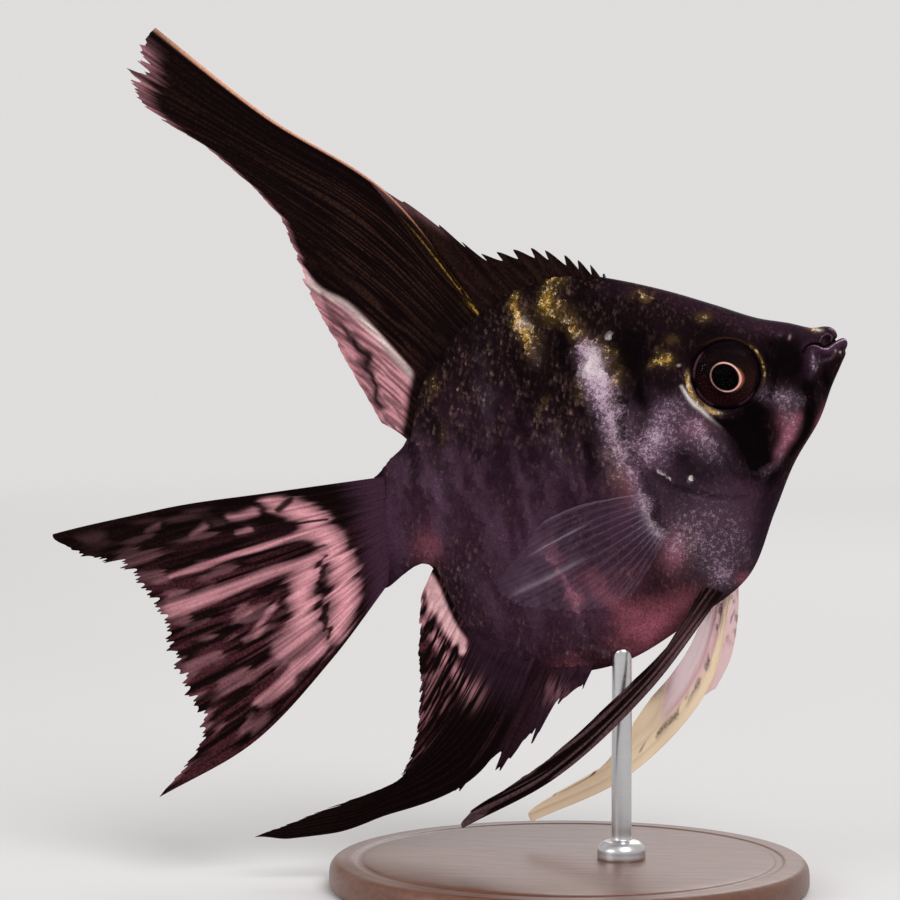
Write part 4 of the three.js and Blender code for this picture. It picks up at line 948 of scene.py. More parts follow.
def body_paint(name, settings, scaled):
    """Skin or scale finish. Each marking's colour covers the ground by its layer times fine flecks, and
    white specks on the silver and gold are painted glints.
    """
    paint = Paint(name, Specular_IOR_Level=0.012)
    silver, gold, white = paint.layer("bright")
    violet, dark, pink = paint.layer("deep")
    fleck = paint.noise(0.23, detail=3.0, roughness=0.68)
    dust = paint.noise(0.1)
    patch = paint.noise(2.6)
    clump = paint.noise(0.55)
    streak = paint.noise(0.42, detail=3.0, roughness=0.6, stretch=(1.0, 1.0, 0.45))
    grain = (fleck * 0.6 + dust * 0.4).step(0.38, 0.62)
    spark = (fleck * 0.4 + dust * 0.6).step(0.42, 0.6)
    dash = streak.step(0.5, 0.68) * 0.24
    if scaled:
        along, across, pick = paint.layer("lay")
        spot = along.step(0.3, 0.95) * (1 - (across * across).step(0.05, 0.8)) * pick.step(0.05, 1)
        dash = spot * streak.step(0.4, 0.62) * 0.8 + dash
    dash = dash * (1 - violet.step(0.1, 0.7) * 0.72)
    sheen = grain * 0.6 + clump * 0.5
    cover = grain * 0.6 + clump.step(0.3, 0.7) * 0.48 + dash * 0.4
    cover = silver * 0.22 + (silver * 1.3 + cover - 1.04).step(0.0, 0.9) * 0.76
    leaf = gold * 1.15 + clump.step(0.34, 0.66) * 0.6 + spark * 0.65 + dash * 0.3
    leaf = gold * 0.16 + (leaf - 1.3).step(0.0, 0.6) * 0.8
    colour = paint.coats(
        settings.ground,
        (dash * (patch.step(0.3, 0.66) * 0.85 + 0.15), settings.brown),
        (violet * (sheen + 0.15), settings.violet),
        (pink * (sheen + 0.2), settings.pink),
        (cover, settings.silver),
        # Painted glints: white specks where the silver is strongest.
        ((silver - 0.55) * spark * 0.8, settings.white),
        ((dark * 1.3).least(0.98) * (1 - cover * 0.35), settings.black),
        (leaf, settings.gold),
        # Painted glints: white specks on the densest gold.
        (leaf * clump.step(0.52, 0.66) * spark * 0.6, settings.white),
        (white * (spark * 0.4 + 0.6), settings.white))
    paint.feed(Base_Color=colour, Roughness=0.5 - silver * 0.12 - gold * 0.1,
               Metallic=gold * spark * 0.35)
    paint.bump(dust + dash * 0.6, 0.02, 0.6)
    return paint.material


# A margin round the unwrapped map, and the corner of the map that the small end caps share.
MAP_EDGE = 0.02
MAP_SPAN = 1 - 2 * MAP_EDGE
MAP_CORNER = 0.005
# How far the skin's last ring is set back into the tail fin.
REAR_SINK = 0.05


class ANGELFISH_OT_skin(bpy.types.Operator):
    """Add one seamless skin with its orbits, lips, jaw folds and gill covers"""

    bl_idname = "angelfish.skin"
    bl_label = "Skin"

    def execute(self, context):
        settings = context.scene.angelfish_body
        rings, columns = settings.rings, settings.columns
        angle = 2 * math.pi * np.arange(columns) / columns - math.pi / 2
        sine, cosine = np.sin(angle), np.cos(angle)
        level = 0.5 * sine + np.arcsin(np.clip(sine, -1, 1)) / math.pi
        side = np.sign(np.where(np.abs(cosine) < 1e-9, 0, cosine))
        grid = skin_places(np.arange(1, rings + 1) / rings, level, side, settings.inset / MM)
        grid[-1, :, 0] -= REAR_SINK
        places, (quads, caps) = capped_rings(grid)
        marks = body_marks(*side_view(places), np.sign(places[:, 1]) * SIDE_SHIFT)
        column = quads % columns
        seam = (column == 0) & (column[:, :1] == columns - 1)
        unwrap = np.stack([(quads // columns) / rings, np.where(seam, columns, column) / columns], -1)
        corners = np.concatenate([MAP_EDGE + MAP_SPAN * unwrap.reshape(-1, 2),
                                  np.full((caps.size, 2), MAP_CORNER)])
        skin = mesh_object("skin", places, [quads, caps], marks, corners)
        place_piece(skin, body_paint("fish_skin", settings, False), "skin", "head", "upper_jaw",
                    "lower_jaw", "trunk", "tail_stalk", "gill_cover_right", "gill_cover_left")
        return {"FINISHED"}


# -------- scales

# The turn of the rows of scales from level, the share along the body where the scales end, and the
# edge of the bare face.
AXIS = math.radians(22.4)
LAST_SHARE = 0.985
NAKED = ((31.5, 77), (30.2, 71.4), (29.2, 68.6), (29.4, 63.4), (31, 60.2), (33.6, 58.4), (37.2, 57.6),
         (40.6, 56.4), (42.6, 53.4), (46, 49))
# How many points a scale has each way, and how much of the unwrapped map it spreads over.
SCALE_GRID = 5
MAP_SCALE = 0.0015
# The point that the rows are laid out from, and the corners of the places that they may reach.
COAT_MIDDLE = (12, 52)
COAT_LOW, COAT_HIGH = (-9, 26), (47, 78)
# How far the head's and trunk's scales stay from the gill cover's edge, from the bare face and from
# the middle of the eye.
GILL_GAPS = (0.35, 0.3)
FACE_GAP = 0.2
EYE_GAP = 6.0


def scale_template(lift):
    """A scale as a disc of places (along, across) from -1 to 1, heights, and its faces.

    A square grid is drawn into the disc by X = u sqrt(1 - v^2 / 2) and Y = v sqrt(1 - u^2 / 2). The top
    rises evenly from a sunk root to the lifted free edge and is domed by 1 - Y^2. A fan to one low
    point closes the underside.
    """
    ends = np.linspace(-1, 1, SCALE_GRID)
    u, v = np.meshgrid(ends, ends, indexing="ij")
    along = (u * np.sqrt(1 - v * v / 2)).ravel()
    across = (v * np.sqrt(1 - u * u / 2)).ravel()
    height = -0.03 + (lift + 0.03) * (0.5 + 0.5 * along) + 0.014 * (1 - across**2)
    rim = grid_rim(SCALE_GRID, SCALE_GRID)
    fan = np.stack([np.full(len(rim), u.size), np.roll(rim, -1), rim], -1)
    low_point = (0.1, 0.0, -0.12)
    parts = (np.append(values, last) for values, last in zip((along, across, height), low_point))
    return *parts, grid_faces(SCALE_GRID, SCALE_GRID), fan


def scale_lattice(pitch, row, on_head, seed):
    """Shares, heights and sizes of staggered scales over one side of the trunk or of the head.

    Sizes fade to half towards the bare face, the back and belly edges and the tail.
    """
    rows = np.arange(-50, 60, row)
    steps = np.arange(-80, 70, pitch)
    along = steps[None, :] + np.where(np.arange(len(rows)) % 2, pitch / 2, 0)[:, None]
    across = np.broadcast_to(rows[:, None], along.shape)
    jitter = np.random.default_rng(seed).normal(0, 0.085 * pitch, (2,) + along.shape)
    along, across = (along + jitter[0]).ravel(), (across + jitter[1]).ravel()
    x = COAT_MIDDLE[0] + along * math.cos(AXIS) - across * math.sin(AXIS)
    z = COAT_MIDDLE[1] + along * math.sin(AXIS) + across * math.cos(AXIS)
    inside = (x > COAT_LOW[0]) & (x < COAT_HIGH[0]) & (z > COAT_LOW[1]) & (z < COAT_HIGH[1])
    x, z = x[inside], z[inside]
    gill = line_offset(x, z, GILL_EDGE, 40)[0]
    bare = line_offset(x, z, NAKED, 40)[0]
    own = gill > GILL_GAPS[0] if on_head else gill < -GILL_GAPS[1]
    keep = own & (bare < -FACE_GAP) & (np.hypot(x - EYE_X, z - EYE_Z) > EYE_GAP)
    bare = bare[keep]
    share, height = find_on_body(x[keep], z[keep])
    edge = 1 - np.abs(height)
    found = ~np.isnan(share) & (edge > 0.025) & (share < LAST_SHARE)
    fade = smooth(-bare, 0, 3.6) * smooth(edge, 0, 0.14) * smooth(LAST_SHARE - share, 0, 0.04)
    return share[found], height[found], 0.5 + 0.5 * fade[found]


def unit(vectors):
    """Vectors with a length of 1."""
    return vectors / np.linalg.norm(vectors, axis=-1, keepdims=True)


def coat_piece(name, side, settings, inset, on_head, seed):
    """One side's scales as a mesh. Each lies on the skin with its free edge towards the tail.

    A place on a scale is moved along the body's share and height by as much as carries it the same way
    in the side view, so it stays on the curved body, and then off it along the root's normal.
    """
    small = settings.head_share if on_head else 1.0
    pitch, row, length, width = (value / MM * small for value in
                                 (settings.pitch, settings.row, settings.length, settings.width))
    share, height, fade = scale_lattice(pitch, row, on_head, seed)
    step = 1e-3
    down = (body_place(share + step, height) - body_place(share - step, height)) / (2 * step)
    low, high = np.clip(height - step, -0.999, 0.999), np.clip(height + step, -0.999, 0.999)
    up = (body_place(share, high) - body_place(share, low)) / (high - low)[:, None]
    normal = unit(np.cross(down, up))
    normal *= np.sign(normal[:, 1:2])
    along, across, rise, quads, fan = scale_template(settings.lift / MM * (0.5 if on_head else 1.0))
    picks, sizes, leans = np.random.default_rng(seed + 50).random((len(share), 3)).T[..., None]
    lie = unit(unit(down[:, [0, 2]]) - (math.cos(AXIS), math.sin(AXIS)))
    lie = lie + lie[:, ::-1] * 0.36 * (leans - 0.5) * (1, -1)
    size = fade[:, None] * (0.9 + 0.24 * sizes) / 2
    reach, spread = size * along * length, size * across * width
    dx = lie[:, :1] * reach - lie[:, 1:] * spread
    dz = lie[:, 1:] * reach + lie[:, :1] * spread
    area = (down[:, 0] * up[:, 2] - down[:, 2] * up[:, 0])[:, None]
    new_share = share[:, None] + (dx * up[:, 2:3] - dz * up[:, 0:1]) / area
    new_height = height[:, None] + (dz * down[:, 0:1] - dx * down[:, 2:3]) / area
    places = body_place(new_share.ravel(), np.clip(new_height, -0.998, 0.998).ravel())
    places = places.reshape(len(share), -1, 3)
    out = relief(*side_view(places)) + rise * (0.8 + 0.4 * leans) * fade[:, None] - inset
    places = places + normal[:, None] * out[..., None]
    places[..., 1] *= side
    start = (np.arange(len(share)) * len(along))[:, None, None]
    if side > 0:
        quads, fan = quads[:, ::-1], fan[:, ::-1]
    faces = [(start + quads).reshape(-1, 4), (start + fan).reshape(-1, 3)]
    root = places[:, -1:, :]
    middle = (0.5 * (places + root)).reshape(-1, 3)
    chosen = picks * (1 - 0.55 * smooth(root[..., 0], 20, 28))
    lay = np.stack(np.broadcast_arrays(along, across, chosen), -1).reshape(-1, 3)
    unwrap = np.stack([MAP_EDGE + MAP_SPAN * share, 0.5 + 0.48 * height], -1)[:, None]
    unwrap = (unwrap + MAP_SCALE * np.stack([along, across], -1)).reshape(-1, 2)
    corners = unwrap[np.concatenate([face.ravel() for face in faces])]
    marks = body_marks(*side_view(middle), side * SIDE_SHIFT)
    return mesh_object(name, places.reshape(-1, 3), faces, {**marks, "lay": lay}, corners, [True, False])


class ANGELFISH_OT_scales(bpy.types.Operator):
    """Add overlapping scales over both sides of the trunk and, smaller, of the head"""

    bl_idname = "angelfish.scales"
    bl_label = "Scales"

    def execute(self, context):
        settings = context.scene.angelfish_scales
        body = context.scene.angelfish_body
        material = body_paint("fish_scales", body, True)
        for seed, (name, side, on_head) in enumerate((
                ("scales_right", -1, False), ("scales_left", 1, False),
                ("head_scales_right", -1, True), ("head_scales_left", 1, True))):
            coat = coat_piece(name, side, settings, body.inset / MM, on_head, seed)
            place_piece(coat, material, "skin")
        return {"FINISHED"}


# -------- fins

# Thickness of a comb of spines, at its edge and root.
COMB_WEB, COMB_ROOT = 0.1, 1.3


def fin_shares(across, along):
    """Shares across and along a fin: as plain lists, then as two grids."""
    u, v = np.linspace(0, 1, across), np.linspace(0, 1, along)
    return u, v, *np.meshgrid(u, v, indexing="ij")


def fin_grid(rays, across, along):
    """Grids of shares across and along a fin, and its places on the surface through guide rays.

    A curve runs down each ray to the share along, and a curve through those points to the share across.
    """
    us, vs, u, v = fin_shares(across, along)
    down = spline(np.asarray(rays, float).transpose(1, 0, 2), vs)
    return u, v, spline(down.transpose(1, 0, 2), us)


def comb_grid(roots, tips, across, along):
    """A comb of spines: grids of shares across and along it, the line of its roots and the way from
    there to the tips, and for each share across, how far it is past a spine and off the nearest."""
    us, _, u, v = fin_shares(across, along)
    base, top = (spline(np.array(points)[:, None], us) for points in (roots, tips))
    gaps = len(tips) - 1
    return u, v, base, top - base, u * gaps % 1, off_ray(u, gaps)


def cut_back(places, share):
    """Moves each place of a grid towards the root, to a share of its column's length."""
    count = places.shape[1]
    place = np.clip(share, 0, 1) * (count - 1)
    low = np.minimum(place.astype(int), count - 2)
    t = (place - low)[..., None]
    row = np.arange(len(places))[:, None]
    return places[row, low] * (1 - t) + places[row, low + 1] * t


def off_ray(u, gaps):
    """How far each share across is off the nearest ray, in parts of the even gaps between rays."""
    return u * gaps - np.round(u * gaps)


def ray_ridges(u, v, gaps, split=0.5, fork=0.22):
    """Ridges of rays: a bell across each, 1 on the ray. Rays part in two past the split, and again
    near the edge, by moving each bell's middle off the ray."""
    offset = np.abs(off_ray(u, gaps))
    offset = np.abs(offset - fork * smooth(v, split - 0.15, split + 0.25))
    offset = np.abs(offset - 0.4 * fork * smooth(v, split + 0.22, split + 0.45))
    return bell(offset, 0.085)


def sheet(places, thick, **layers):
    """A closed sheet: a grid moved half its thickness along its normals to each side, edges joined.
    Each point layer is given as three masks over the grid."""
    out = -grid_normals(places) * (thick / 2)[..., None]
    near = grid_faces(*thick.shape)[:, ::-1]
    rim = grid_rim(*thick.shape)
    after = np.roll(rim, -1)
    edge = np.stack([rim, after, after + thick.size, rim + thick.size], -1)
    both = np.concatenate([(places + out).reshape(-1, 3), (places - out).reshape(-1, 3)])
    twice = {key: np.tile(np.stack(np.broadcast_arrays(*masks, thick)[:3], -1).reshape(-1, 3), (2, 1))
             for key, masks in layers.items()}
    return both, [np.concatenate([near, near[:, ::-1] + thick.size, edge])], twice


def joined(parts):
    """Several meshes' places, faces and layers as one."""
    places, faces, start = [], [], 0
    for part_places, part_faces, _ in parts:
        places.append(part_places)
        faces += [face + start for face in part_faces]
        start += len(part_places)
    layers = {key: np.concatenate([part[2][key] for part in parts]) for key in parts[0][2]}
    return np.concatenate(places), faces, layers


def root_thickness(height, web, root):
    """Thickness of a fin: the web's, swelling to the root's as exp(-height) nears the body."""
    return web + (root - web) * np.exp(-np.clip(height, 0, None) / 0.9)


def dorsal_parts(settings):
    """The rayed rear of the dorsal fin and its comb of spines."""
    rays = 17
    u, v, full = fin_grid(DORSAL_RAYS, 230, 130)
    fray = 0.06 * noise(u * 60, 0.5, 4) ** 2 + 0.018 * (1 - ray_ridges(u, 1, rays))
    fray += 0.02 * fall(u, 0, 0.04)
    places = cut_back(full, v * (1 - fray * smooth(u, 0.02, 0.12)))
    x, z = side_view(places)
    ridge = ray_ridges(u, v, rays)
    height = -path_offset(x, z, BACK_LINE)[0]
    thick = root_thickness(height, settings.web / MM, settings.root / MM) + 0.35 * bell(u, 0.012)
    thick += 0.2 * ridge * (1 - 0.6 * v)
    grain = noise(u * 95, v * 7, 2)
    past, along = line_offset(x, z, PALE_EDGE, 30)
    patch = smooth(-past, -0.1, 0.5) * smooth(u, 0.55, 0.66) * smooth(height, 0.3, 1.6)
    wobble = 1.6 * (noise(x / 1.3, z / 1.3, 2) - 0.5)
    clear = 1 - stroke(x + wobble, z, PALE_STREAK, (0.45, 0.85, 0.7), (0.5, 1.0, 1.0))
    # lit is a painted highlight: a band along the inside of the light patch's front edge.
    lit = bell(past + 0.55, 0.55) * smooth(along, 0, 0.15) * smooth(height, 0.2, 1.2)
    pale = patch * (0.04 + 0.96 * clear) * (0.3 + 0.45 * smooth(grain, 0.3, 0.65) + 0.25 * lit)
    fringe = smooth(v, 0.93, 1) * (0.16 + 0.3 * smooth(grain, 0.35, 0.7)) * smooth(u, 0.03, 0.08)
    ray_line = fall(u, 0.007, 0.017) * smooth(v, 0.16, 0.34) * (1 - 0.5 * smooth(v, 0.86, 1))
    brown = smooth(grain, 0.45, 0.75) * (1 - smooth(v, 0.3, 0.85) * 0.75) * smooth(u, 0.06, 0.2)
    brown *= 0.35 + 0.65 * smooth(v, 0.05, 0.3)
    gold = union(bell(u - 0.045, 0.018) * fall(v, 0.1, 0.32),
                 0.9 * blob(x, z, (3.9, 73.6), (1.3, 0.8), 125) * smooth(grain, 0.3, 0.55))
    soft = sheet(places, thick, tint=(union(pale, fringe), brown, ray_line),
                 ray=(ridge, 0.9 * lit * clear, gold))
    u, v, base, way, past, off = comb_grid(DORSAL_SPINE_ROOTS, DORSAL_SPINES, 301, 14)
    drop = 1.5 * plateau(past, 0, 0.16, 0.12, 1) * (1 - 0.6 * smooth(u, 0.7, 0.95))
    drop = np.minimum(drop / np.linalg.norm(way, axis=-1), 0.6)
    places = base + way * (v * (1 - drop))[..., None]
    places += (smooth(u, 0.72, 1) * np.sin(math.pi * v) * (1 - v))[..., None] * (-1.5, 0.0, -1.2)
    spine = bell(off, 0.16)
    height = -path_offset(*side_view(places), BACK_LINE)[0]
    thick = root_thickness(height, COMB_WEB, COMB_ROOT) + 0.42 * spine * (1 - 0.75 * v)
    rim = smooth(v, 0.8, 0.95) * smooth(u, 0.78, 0.9)
    comb = sheet(places, thick, tint=(0.12 * rim, 0.5 * noise(u * 60, v * 3, 1), 0), ray=(spine, 0, 0))
    return joined([soft, comb])


def anal_parts(settings):
    """The rayed rear of the anal fin, its long filament and its front spines."""
    rays = 19
    u, v, full = fin_grid(ANAL_RAYS, 230, 120)
    sag = plateau(v, 0.6, 0.78, 0.9, 1) * fall(u, 0, 0.16)
    full += sag[..., None] * (0.0, 0.0, -0.75)
    fray = 0.09 * noise(u * 64, 3.5, 2) ** 2 + 0.03 * (1 - ray_ridges(u, 1, rays))
    places = cut_back(full, v * (1 - fray * smooth(u, 0.05, 0.2)))
    x, z = side_view(places)
    ridge = ray_ridges(u, v, rays)
    height = path_offset(x, z, BELLY_LINE)[0]
    thick = root_thickness(height, settings.web / MM, settings.root / MM)
    thick += 0.2 * ridge * (1 - 0.6 * v) + 0.45 * bell(u, 0.05) * (1 - 0.5 * v)
    grain, coarse = noise(u * 100, v * 6, 7), noise(u * 30, v * 5, 3)
    wobble = 0.9 * (coarse - 0.5)
    patch = stroke(x + wobble, z, *ANAL_PALE)
    patch = smooth(patch + 0.25 * (grain - 0.5), 0.22, 0.75) * (0.78 + 0.22 * smooth(grain, 0.3, 0.6))
    dull = union(0.55 * stroke(x + wobble, z, *ANAL_DULL),
                 0.4 * blob(x, z, (4.1, 24.2), (1.2, 1.7), -20),
                 0.25 * smooth(u, 0.4, 0.55) * smooth(v, 0.3, 0.6) * smooth(coarse, 0.42, 0.66))
    pale = union(patch, dull * smooth(grain, 0.35, 0.6)) * smooth(height, 0.1, 0.8)
    brown = smooth(grain, 0.5, 0.75) * smooth(u, 0.42, 0.62)
    root_tint = (0.3 + 0.45 * grain) * fall(height, 0.5, 8) * smooth(x, 1, 5) * (1 - pale)
    soft = sheet(places, thick, tint=(pale, brown, root_tint), ray=(ridge, 0.35 * patch, 0))
    u, v, base, way, past, off = comb_grid(ANAL_SPINE_ROOTS, ANAL_SPINES, 201, 16)
    notch = 0.2 * plateau(past, 0, 0.12, 0.1, 0.95) + 0.1 * noise(u * 44, 0.5, 8)
    places = base + way * (v * (1 - notch))[..., None]
    spine = bell(off, 0.12)
    x, z = side_view(places)
    thick = root_thickness(path_offset(x, z, BELLY_LINE)[0], COMB_WEB, COMB_ROOT)
    thick += 0.4 * spine * (1 - 0.75 * v)
    pink = blob(x, z, (14.6, 24.4), (1.8, 1.6)) * smooth(noise(u * 50, v * 9, 6), 0.35, 0.6)
    root_tint = (0.3 + 0.45 * noise(u * 60, v * 6, 9)) * (1 - 0.6 * smooth(u, 0.3, 0.8))
    comb = sheet(places, thick, tint=(0.36 * pink, 0.3 * noise(u * 70, v * 3, 4), root_tint),
                 ray=(spine, 0, 0))
    return joined([soft, comb])


def tail_parts(settings):
    """The tail fin: forked rays, barred and mottled web, and a stepped edge."""
    rays = 15
    u, v, full = fin_grid(TAIL_RAYS, 290, 130)
    outer = smooth(v, 0.68, 1)
    for middle, width, shift in TAIL_TIP_SHIFTS:
        full += (outer * bell(u - middle, width))[..., None] * shift
    fray = 0.06 * noise(u * 52, 1.5, 4) ** 2 + 0.028 * (1 - ray_ridges(u, 1, rays))
    places = cut_back(full, v * (1 - fray * plateau(u, 0.03, 0.1, 0.93, 0.99)))
    x, z = side_view(places)
    ridge = ray_ridges(u, v, rays, split=0.42)
    thick = settings.web / MM + 2.0 * np.exp(-np.clip(-7.4 - x, 0, None) / 2.6)
    thick += 0.17 * ridge * (1 - 0.6 * v)
    lane = np.floor(u * rays * 2 + 0.5)
    grain, fine = noise(u * 100, v * 6, 3), noise(u * 52, v * 8, 9)
    x = x + 2.4 * (noise(lane * 1.7 + 0.5, 0.5, 0.5) - 0.5) + 0.7 * (fine - 0.5)
    z = z + 0.5 * (fine - 0.5)
    pale, dark = (union(*(stroke(x, z, *mark) for mark in marks)) for marks in (TAIL_PALE, TAIL_DARK))
    mottle = smooth(noise(u * 30, v * 12, 6), 0.5, 0.8) * smooth(v, 0.45, 0.66) * 0.2
    mottle *= 0.3 + 0.7 * smooth(u, 0.1, 0.28)
    pale = pale * smooth(pale, 0.08, 0.42) * (1 - 0.95 * smooth(dark, 0.2, 0.7))
    pale = union(pale, mottle) * (0.72 + 0.28 * smooth(grain, 0.25, 0.6))
    pale *= plateau(u, 0.012, 0.05, 0.955, 0.985) * smooth(v, 0.07, 0.13)
    brown = smooth(grain, 0.35, 0.7) * (0.35 + 0.65 * smooth(v, 0.3, 0.6)) * smooth(u, 0.1, 0.4)
    base = 0.95 * fall(v + 0.05 * fine, 0.06, 0.2)
    return sheet(places, thick, tint=(pale, brown, base), ray=(ridge, 0, 0))


def pectoral_parts(side):
    """One clear pectoral fin with fine forked rays."""
    rays = 12
    u, v, full = fin_grid(np.array(PECTORAL_RAYS) * (1, side, 1), 150, 90)
    ridge = ray_ridges(u, v, rays, split=0.38)
    fray = 0.05 * noise(u * 30, 0.5, 6) + 0.02 * (1 - ray_ridges(u, 1, rays))
    places = cut_back(full, v * (1 - fray))
    places[..., 1] -= side * 1.1 * fall(v, 0, 0.22)
    thick = 0.07 + 0.8 * np.exp(-v / 0.05) + 0.11 * ridge * (1 - 0.5 * v) + 0.12 * bell(u, 0.015)
    base = fall(v, 0.02, 0.3)
    # Painted glints: bright streaks along two rays, the leading edge and across the base.
    bright = union(0.8 * bell(u - 0.19, 0.018) * plateau(v, 0.35, 0.55, 0.7, 0.9),
                   0.7 * bell(u - 0.47, 0.022) * plateau(v, 0.4, 0.6, 0.85, 1.05),
                   0.55 * bell(u, 0.01), 0.8 * bell(v - 0.1, 0.02) * smooth(u, 0.1, 0.4))
    bars = bell(off_ray(u, rays), 0.2) * plateau(v, 0, 0.02, 0.05, 0.09)
    return sheet(places, thick, tint=(bright, base, noise(u * 20, v * 5, 2)), ray=(ridge, v, bars))


def pelvic_right_parts():
    """The dark pelvic fin: a few stout rays in a narrow web that ends in steps behind."""
    gaps = 5
    u, v, full = fin_grid(PELVIC_RAYS_RIGHT, 64, 260)
    step = 0.1 * (noise(np.floor(u * gaps + 0.5) * 2.3 + 0.5, 2.5, 0.5) - 0.3) * smooth(u, 0.1, 0.3)
    places = cut_back(full, v * (1 - np.clip(step, 0, 0.1)))
    ridge = bell(off_ray(u, gaps), 0.2)
    thick = 0.16 + 0.9 * np.exp(-v / 0.05) + 0.4 * ridge * (1 - 0.6 * v)
    thick += 0.3 * bell(u, 0.1) * (1 - 0.5 * v)
    striae = smooth(noise(u * 17, v * 5, 3), 0.45, 0.72)
    fade = blob(*side_view(places), (31.0, 31.6), (4.5, 4.0))
    return sheet(places, thick, tint=(0.05 * striae + 0.05 * fade, striae, 0), ray=(ridge, 0, 0))


def pelvic_left_parts():
    """The light pelvic fin: a cream main ray with a row of dark spots, and a clear web before it."""
    gaps = 4
    u, v, full = fin_grid(PELVIC_RAYS_LEFT, 64, 240)
    step = 0.09 * noise(np.floor(u * gaps + 0.5) * 1.9 + 0.5, 4.5, 0.5) * smooth(u, 0.3, 0.5)
    places = cut_back(full, v * (1 - step))
    ridge = bell(off_ray(u, gaps), 0.2)
    outer = smooth(v, 0.5, 0.78)
    main = fall(u + 0.25 * fall(v, 0.1, 0.5) - 0.6 * outer, 0.36, 0.58)
    thick = 0.16 + 0.9 * np.exp(-v / 0.05) + (0.55 * main + 0.22 * ridge) * (1 - 0.6 * v)
    spots = bell(u - 0.34 - 0.06 * (noise(v * 40, 2.5, 0) - 0.5), 0.085)
    spots *= smooth(noise(v * 46, u * 6, 3), 0.48, 0.6) * fall(v, 0.56, 0.7)
    blotch = blob(*side_view(places), (26.6, 24.6), (1.7, 1.2), 40)
    cloud = plateau(u, 0.05, 0.25, 0.5, 0.7) * plateau(v, -0.02, 0.08, 0.11, 0.21)
    dark = union(0.85 * spots, 0.7 * blotch, 0.5 * cloud * smooth(noise(u * 12, v * 30, 4), 0.45, 0.6))
    film = 1.3 * smooth(u, 0.42, 0.75) * smooth(v, 0.03, 0.2) * (1 - outer)
    blade = sheet(places, thick, tint=(dark, main, film), ray=(ridge, 0, 0))
    u, v, places = fin_grid(PELVIC_WEB_LEFT, 24, 110)
    thick = 0.09 + 0.6 * np.exp(-v / 0.06) + 0.15 * bell(u, 0.12)
    dots = smooth(noise(u * 5, v * 26, 8), 0.66, 0.74) * fall(v, 0.4, 0.6)
    web = sheet(places, thick, tint=(0.6 * dots, 0.15 * bell(u, 0.2), 1), ray=(0, 0, 0))
    return joined([blade, web])


# Colours of the fins' webs, rays and flecks that the sidebar doesn't hold.
# WHITE_WEB is a painted highlight where it follows the dorsal fin's lit band; on the anal fin it whitens
# the light patch.
ROSE_WEB, ROSE_RAY, WHITE_WEB = (0.66, 0.25, 0.28), (0.2, 0.06, 0.07), (0.8, 0.66, 0.62)
GOLD_FLECK = (0.45, 0.26, 0.04)
GREY_MOTTLE = (0.085, 0.056, 0.06)
# LILAC_GLINT is the colour of the clear fins' painted glints.
LILAC_BASE, LILAC_GLINT = (0.34, 0.25, 0.36), (0.52, 0.42, 0.52)
PINK_FILM, TAN_RAY, PLUM_SPOT = (0.85, 0.55, 0.58), (0.6, 0.36, 0.34), (0.055, 0.022, 0.03)


def dark_fin_paint(name, settings, mottle, rim):
    """Dark fins: brown rays on a black web, light web where the tint layer says, with fine dark rays."""
    paint = Paint(name, Specular_IOR_Level=0.012)
    pale, brown, edge = paint.layer("tint")
    ridge, white, gold = paint.layer("ray")
    fine = paint.noise(0.3, detail=3.0, roughness=0.6)
    # The white coat paints a highlight from the dorsal fin's lit band, and lightens the anal fin's patch.
    shade = paint.coats(
        settings.pale, (paint.noise(1.7).step(0.3, 0.75) * 0.3, ROSE_WEB), (ridge * 0.42, ROSE_RAY),
        (white, WHITE_WEB))
    colour = paint.coats(
        settings.black,
        (brown * (fine.step(0.3, 0.7) * 0.5 + 0.15), mottle),
        (ridge * fine.step(0.35, 0.7) * 0.2, settings.brown),
        (pale * (fine.step(0.22, 0.62) * 0.25 + 0.75), shade),
        (edge * (fine.step(0.3, 0.6) * 0.3 + 0.65), rim),
        (gold * (fine.step(0.35, 0.6) * 0.8 + 0.15), GOLD_FLECK))
    paint.feed(Base_Color=colour, Roughness=0.52 - ridge * 0.08)
    paint.bump(fine, 0.03, 0.6)
    return paint.material


def clear_fin_paint(name, settings):
    """Clear fins: a thin lilac film, more solid on its rays, bright streaks that are painted glints, and
    base.
    """
    paint = Paint(name, Specular_IOR_Level=0.1, Roughness=0.35)
    bright, base, cloud = paint.layer("tint")
    ridge, along, bars = paint.layer("ray")
    colour = paint.coats(settings.clear, ((base + bars).least(1.0) * 0.6, LILAC_BASE),
                         (bright * 0.7, LILAC_GLINT))
    solid = 0.008 + ridge * (0.085 - along * 0.045) + base * (0.03 + ridge * 0.2) + bright * 0.22
    solid = solid + bars * 0.55 + cloud * paint.noise(0.25) * 0.03
    paint.feed(Base_Color=colour, Alpha=solid.least(1.0))
    return paint.material


def light_fin_paint(name, settings):
    """The light pelvic fin: cream main ray, pinkish translucent web and violet-brown spots."""
    paint = Paint(name, Specular_IOR_Level=0.4, Roughness=0.42)
    dark, main, web = paint.layer("tint")
    ridge = paint.layer("ray")[0]
    fine = paint.noise(0.3, detail=3.0)
    colour = paint.coats(PINK_FILM, (main, settings.cream), (ridge * 0.3 * fine, TAN_RAY),
                         (dark * (fine.step(0.3, 0.6) * 0.4 + 0.55), PLUM_SPOT))
    paint.feed(Base_Color=colour, Alpha=1 - web * (1 - dark) * 0.45)
    paint.bump(fine, 0.02, 0.5)
    return paint.material


